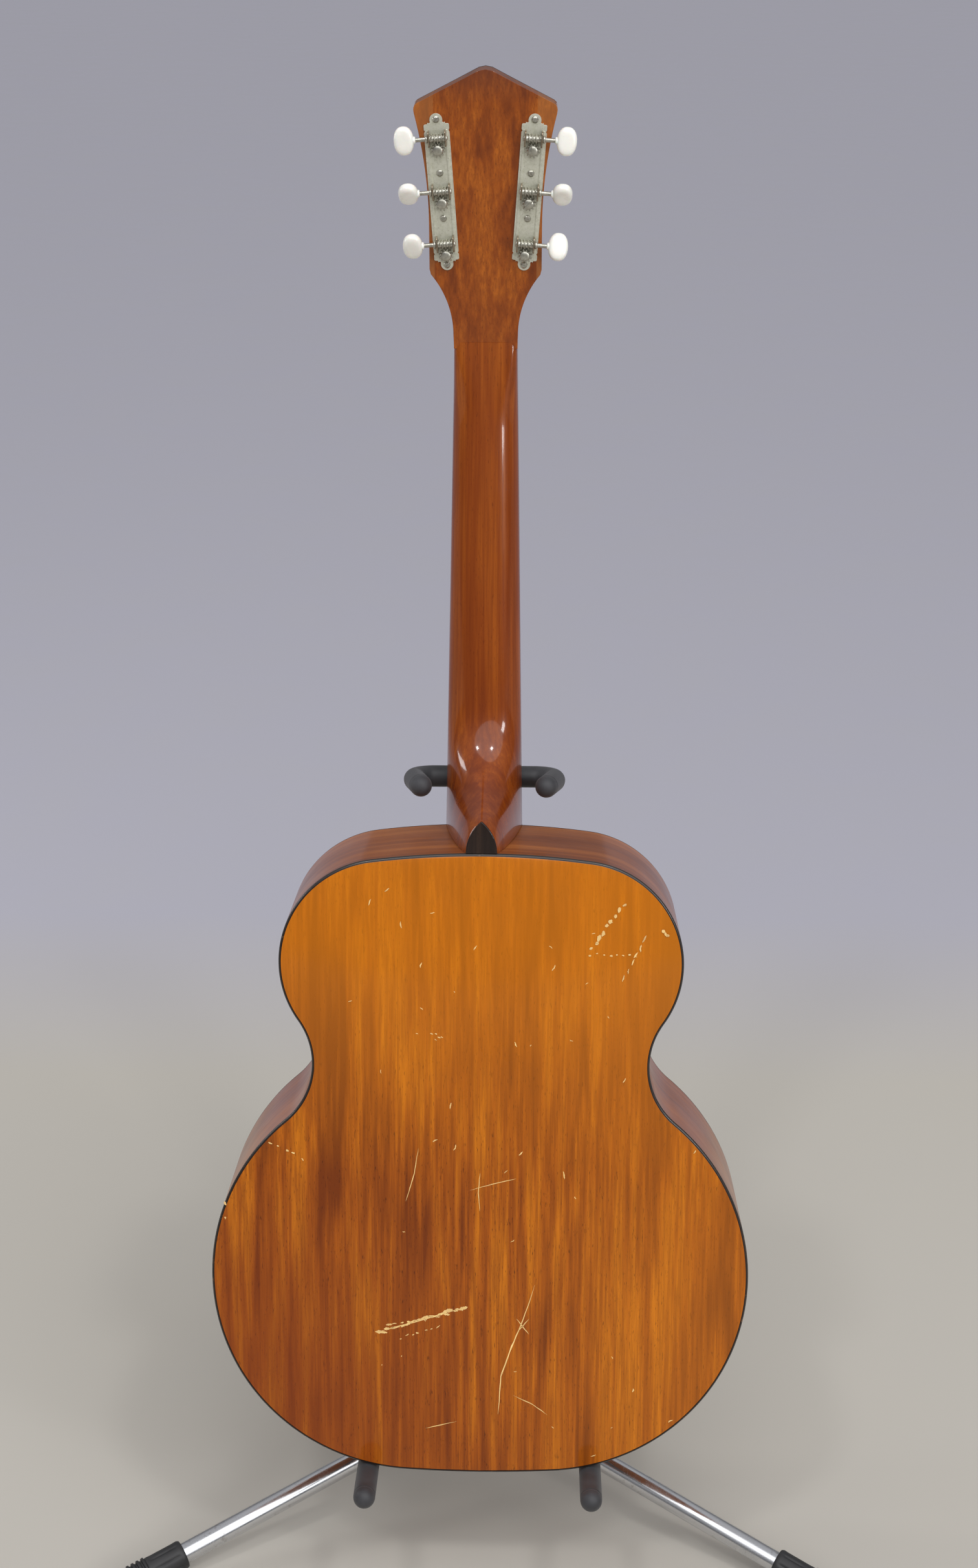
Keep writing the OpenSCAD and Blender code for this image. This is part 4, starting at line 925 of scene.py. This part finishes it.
def build_button(n):
    """Pillow-shaped oval knob: thicker in the middle, softly rounded rim, short collar at the shaft."""
    place = (on_plate(tuner_side(n), tuner_along(n)) @ Matrix.Translation((0, GEAR_Y, WORM_GAP))
             @ Matrix.Rotation(radians(BUTTON_TURNS[n - 1]), 4, "X"))
    middle = BUTTON_IN + BUTTON_L / 2
    shape = Shape()
    rings = []
    for k in range(19):
        t = -math.pi / 2 + math.pi * k / 18
        size = max(0.02, math.cos(t)) ** 0.42
        lift = BUTTON_T / 2 * bulge(math.sin(t), 0.85)
        rings.append([(middle + BUTTON_L / 2 * bulge(math.cos(a), 0.86) * size, lift,
                       BUTTON_H / 2 * bulge(math.sin(a), 0.93) * size) for a in circle(56)])
    shape.rings(rings)
    shape.lathe([(1.8, BUTTON_IN - 1), (2.3, BUTTON_IN - 0.7), (2.5, BUTTON_IN), (2.6, BUTTON_IN + 1.2)],
                ALONG_X, 32)
    make(f"button_{n}", shape.verts, shape.faces, place, f"tuner_{n}_knob", ivory,
         [f"tuner_button_{n}"], sharp=60)


def build_post(n):
    """String post: toothed wheel with chamfered teeth, domed screw behind, slotted on all but the sixth post,
    wound string in front.
    """
    place = on_plate(tuner_side(n), tuner_along(n))
    shape = Shape()
    tip, root = 4.95, 3.7
    outline = []
    for i in range(TEETH):
        for r, off in ((root, -0.66), (root + 0.35, -0.56), (tip - 0.15, -0.36), (tip, -0.2), (tip, 0.2),
                       (tip - 0.15, 0.36), (root + 0.35, 0.56), (root, 0.66)):
            a = (i + 0.5) * 2 * math.pi / TEETH + off / r
            outline.append((r * math.sin(a), r * math.cos(a)))
    y0, y1 = GEAR_Y - GEAR_W / 2, GEAR_Y + GEAR_W / 2
    shape.rings([[(x * f, y, z * f) for x, z in outline]
                 for f, y in ((0.90, y0), (1.0, y0 + 0.5), (1.0, y1 - 0.5), (0.90, y1))])
    spin = Matrix.Rotation(math.pi / 2, 4, "X")
    shape.lathe([(3.3, -PLATE_Y + 0.1), (3.3, -y1 + 0.05)], spin, 36)
    shape.lathe([(3.0, -wind_end()), (3.0, -PLATE_Y + 0.12)], spin, 36)
    dome = [(3.35, -y0 - 0.05), (3.4, -y0 + 0.45), (3.15, -y0 + 0.95), (2.5, -y0 + 1.3), (1.4, -y0 + 1.5),
            (0.05, -y0 + 1.55)]
    shape.lathe(dome, spin, 40)
    for k in range(4):
        centre = WIND_Y + k * 1.3
        shape.rings([[((WIND_R + WIRE_R * math.cos(b)) * math.cos(a), centre + WIRE_R * math.sin(b),
                       (WIND_R + WIRE_R * math.cos(b)) * math.sin(a)) for b in circle(12)]
                     for a in circle(36)], loop=True)
    piece = make(f"post_{n}", shape.verts, shape.faces, place, f"tuner_{n}_post", nickel_bright,
                 [f"tuner_post_{n}"], sharp=32)
    if n == 6:
        return
    slot_at = place @ Matrix.Rotation(radians(SLOT_TURNS[n - 1]), 4, "Y")
    slot = bpy.data.meshes.new("drill_tool")
    bm = bmesh.new()
    bmesh.ops.create_cube(bm, size=1, matrix=slot_at @ Matrix.Translation((0, y0 - 1.6, 0))
                          @ Matrix.Diagonal((9, 1.9, 0.75, 1)))
    bm.to_mesh(slot)
    bm.free()
    drill(piece, [add_to_scene("drill_tool", slot)])


WIND_Y, WIND_R, WIRE_R = 8.0, 3.45, 0.55   # turns of string wound on a post


def wind_end():
    return 21 + PLATE_Y + HEAD_T + PLATE_T - 0.1


build_plates()
for tuner in range(1, 7):
    build_worm(tuner)
    build_button(tuner)
    build_post(tuner)


# ---------- stand

def arc_points(centre, u, v, radius, a0, a1, n):
    """Points on an arc in the plane of directions u and v."""
    return [centre + (u * math.cos(a) + v * math.sin(a)) * radius
            for a in (mix(a0, a1, i / n) for i in range(n + 1))]


def sleeve_radius(total, radius):
    """Sleeve thickness along its length: domed tip with a moulded ring just before it."""
    def at(run):
        left = total - run
        if left < radius:
            return radius * math.sqrt(max(0.0, 1 - ((radius - left) / radius) ** 2)) * 0.985 + 0.01
        groove = math.exp(-((left - radius - 2.0) / 0.45) ** 2) * 0.45
        return radius - groove
    return at


def dense_tip(end, direction, length, radius):
    """Points along a straight sleeve, close together at its ring and dome."""
    start = end - direction * length
    plain = [start + direction * (length - radius - 5) * i / 12 for i in range(13)]
    tip = [end - direction * (radius + 5) * (1 - i / 14) for i in range(1, 15)]
    dome = [end - direction * radius * (1 - math.sin(math.pi / 2 * i / 10)) for i in range(1, 11)]
    return plain + [p for p in tip if (end - p).length > radius] + [end - direction * radius] + dome


def length_of(path):
    return sum((b - a).length for a, b in zip(path, path[1:]))


def build_yoke_sleeve():
    """Padded bar behind the neck with both horns bent forward, up and slightly in."""
    bend_x = YOKE_X - YOKE_BEND
    shape = Shape()
    for s in (-1, 1):
        flip = Matrix.Scale(s, 4, (1, 0, 0))
        frame_of = (Matrix.Translation((0, YOKE_Y, YOKE_Z)) @ flip @ Matrix.Translation((bend_x, 0, 0))
                    @ Matrix.Rotation(-HORN_UP, 4, "X") @ Matrix.Translation((0, -YOKE_BEND, 0))
                    @ Matrix.Rotation(-HORN_IN, 4, "Z"))
        x, y = Vector((1, 0, 0)), Vector((0, 1, 0))
        bend = arc_points(Vector((0, 0, 0)), x, y, YOKE_BEND, math.pi / 2 + HORN_IN, 0, 18)
        tip = Vector((YOKE_BEND, -HORN_L - SLEEVE_R + 0.3, 0))
        horn = dense_tip(tip, Vector((0, -1, 0)), HORN_L + SLEEVE_R - 0.3, SLEEVE_R)
        path = [frame_of @ p for p in bend + horn[1:]]
        middle = Vector((0, YOKE_Y, YOKE_Z))
        path = [mix(middle, path[0], i / 6) for i in range(6)] + path
        shape.tube(path, sleeve_radius(length_of(path), SLEEVE_R), 40)
    make("yoke_padding", shape.verts, shape.faces, IN_GUITAR, "yoke", black_foam,
         ["yoke_sleeve"], sharp=40)


def build_cradle_sleeves():
    """Padded arms under the tail, each bent from the cross piece behind."""
    shape = Shape()
    z = ARM_Z
    for s in (-1, 1):
        bend = arc_points(Vector((s * (ARM_X - BEND_R), CRADLE_BACK - BEND_R, z)), Vector((s, 0, 0)),
                          Vector((0, 1, 0)), BEND_R, math.pi / 2, 0, 14)
        tip = Vector((s * ARM_X, -ARM_REACH, z))
        arm = dense_tip(tip, Vector((0, -1, 0)), ARM_REACH + CRADLE_BACK - BEND_R, SLEEVE_R)
        path = bend + arm[1:]
        shape.tube(path, sleeve_radius(length_of(path), SLEEVE_R), 40)
    make("cradle_padding", shape.verts, shape.faces, IN_GUITAR, "stand", black_foam,
         ["cradle_sleeves"], sharp=40)


YOKE_Y = 19.4                         # the yoke's bar lies in front of the strings
ARM_Z = c_tail.y - math.sqrt(TAIL_R ** 2 - (ARM_X - 2 - c_tail.x) ** 2) - SLEEVE_R - GAP
HUB_Y = TAIL[1] + SHAFT_Y * math.cos(LEAN) - 20 * math.sin(LEAN)
PIVOT_Z = FOOT_R - 1 + (LEG_REACH - PIVOT_R) * math.tan(LEG_SLOPE)
LEG_L = (LEG_REACH - PIVOT_R) / math.cos(LEG_SLOPE)


def at_leg(angle):
    return (TO_ROW @ Matrix.Translation((0, HUB_Y, PIVOT_Z)) @ Matrix.Rotation(radians(angle), 4, "Z")
            @ Matrix.Translation((PIVOT_R, 0, 0)) @ Matrix.Rotation(LEG_SLOPE, 4, "Y"))


def build_leg(side, angle):
    """Chrome leg tube with a flattened eye at the hub, and its ribbed rubber foot."""
    leg = Shape()
    profile = [(7.8, -6.0), (8.0, -5.6), (8.0, 5.6), (7.8, 6.0)]
    leg.lathe(profile, Matrix.Rotation(math.pi / 2, 4, "X"), 40)
    neck = [(11.0 * f, w, h) for f, w, h in ((0.0, 5.9, 5.4), (1.0, 6.0, 5.6), (1.25, 6.6, 6.4))]
    rings = []
    for x, w, h in neck + [(15.5, LEG_R, LEG_R), (19.0, LEG_R, LEG_R)]:
        power = 0.55 if x < 14 else 1.0
        rings.append([(x, w * bulge(math.cos(a), power), h * bulge(math.sin(a), power)) for a in circle(40)])
    leg.rings(rings)
    leg.lathe([(LEG_R - 0.02, 15.5), (LEG_R, 16.0)]
              + [(LEG_R, 16 + (LEG_L - 19) * i / 8) for i in range(1, 9)]
              + [(LEG_R - 0.4, LEG_L - 2.6)], ALONG_X, 48)
    make(f"leg_{side}_tube", leg.verts, leg.faces, at_leg(angle), f"{side}_leg", chrome,
         [f"leg_{side}"], sharp=40)

    foot = Shape()
    start, grip = LEG_L - 40, FOOT_R - 1.1
    ribs = [(LEG_R + 0.5, start), (grip - 0.8, start + 0.4), (grip, start + 2)]
    ribs += [(grip, start + x) for x in (4, 5.5, 12, 18, 24, 25.5, 28)]
    for k in range(6):
        a = start + 29 + k * 4
        ribs += [(FOOT_R - 1.4, a - 0.1), (FOOT_R - 0.3, a + 0.3), (FOOT_R, a + 0.8), (FOOT_R, a + 1.8),
                 (FOOT_R - 0.3, a + 2.3), (FOOT_R - 1.4, a + 2.7)]
    ribs += [(FOOT_R - 1.3, start + 53.5), (FOOT_R - 2.2, start + 55.5), (FOOT_R - 4.2, start + 57.2),
             (FOOT_R - 7, start + 57.8), (0.2, start + 58)]
    foot.lathe(ribs, ALONG_X, 96)
    for i, (x, y, z) in enumerate(foot.verts):
        fluted = 5 < x - start < 25
        cut = 1 - 0.075 * max(0.0, math.cos(8 * math.atan2(z, y))) ** 3 if fluted else 1
        foot.verts[i] = (x, y * cut, z * cut)
    place = at_leg(angle)
    flat = [place @ Vector(v) for v in foot.verts]
    flat = [(x, y, max(z, 0.0)) for x, y, z in flat]
    make(f"foot_{side}_rubber", flat, foot.faces, Matrix(), f"{side}_leg", black_rubber,
         [f"foot_{side}"], sharp=30)


build_yoke_sleeve()
build_cradle_sleeves()
for leg_side, leg_angle in (("left", 210), ("right", 330), ("rear", 90)):
    build_leg(leg_side, leg_angle)


# ---------- finishes of the CAD nodes that stay

FINISH = {
    spruce: ["soundboard"],
    raw_mahogany: ["end_blocks"],
    raw_spruce: ["linings", "soundboard_braces", "back_braces"],
    rosewood: ["fretboard", "bridge", "rosette"],
    veneer_wood: ["head_veneer"],
    fret_nickel: ["frets", "truss_rod"],
    pearl: ["fret_dots"],
    bone: ["nut", "saddle"],
    ivory: ["bridge_pins", "end_pin"],
    guard: ["pickguard"],
    string_bronze: ["strings"],
    nickel_bright: ["plate_screws", "post_bushings"],
    chrome: ["shaft_tube", "inner_tube", "yoke_rod", "cradle_rod", "leg_pins"],
    black_cast: ["base_hub", "height_clamp", "height_knob"],
}
SOFTENED = {"base_hub": 0.8, "height_clamp": 0.8, "height_knob": 0.8, "bridge": 0.8, "pickguard": 0.25,
            "nut": 0.4, "saddle": 0.3, "plate_screws": 0.2, "post_bushings": 0.25, "leg_pins": 0.4,
            "fretboard": 0.3}
for finish, names in FINISH.items():
    for node_name in names:
        piece = nodes[node_name]
        if not piece.material_slots:
            piece.data.materials.append(finish)
        for material_slot in piece.material_slots:
            material_slot.material = finish
        if node_name in SOFTENED:
            bevel(piece, SOFTENED[node_name], 2, 50)
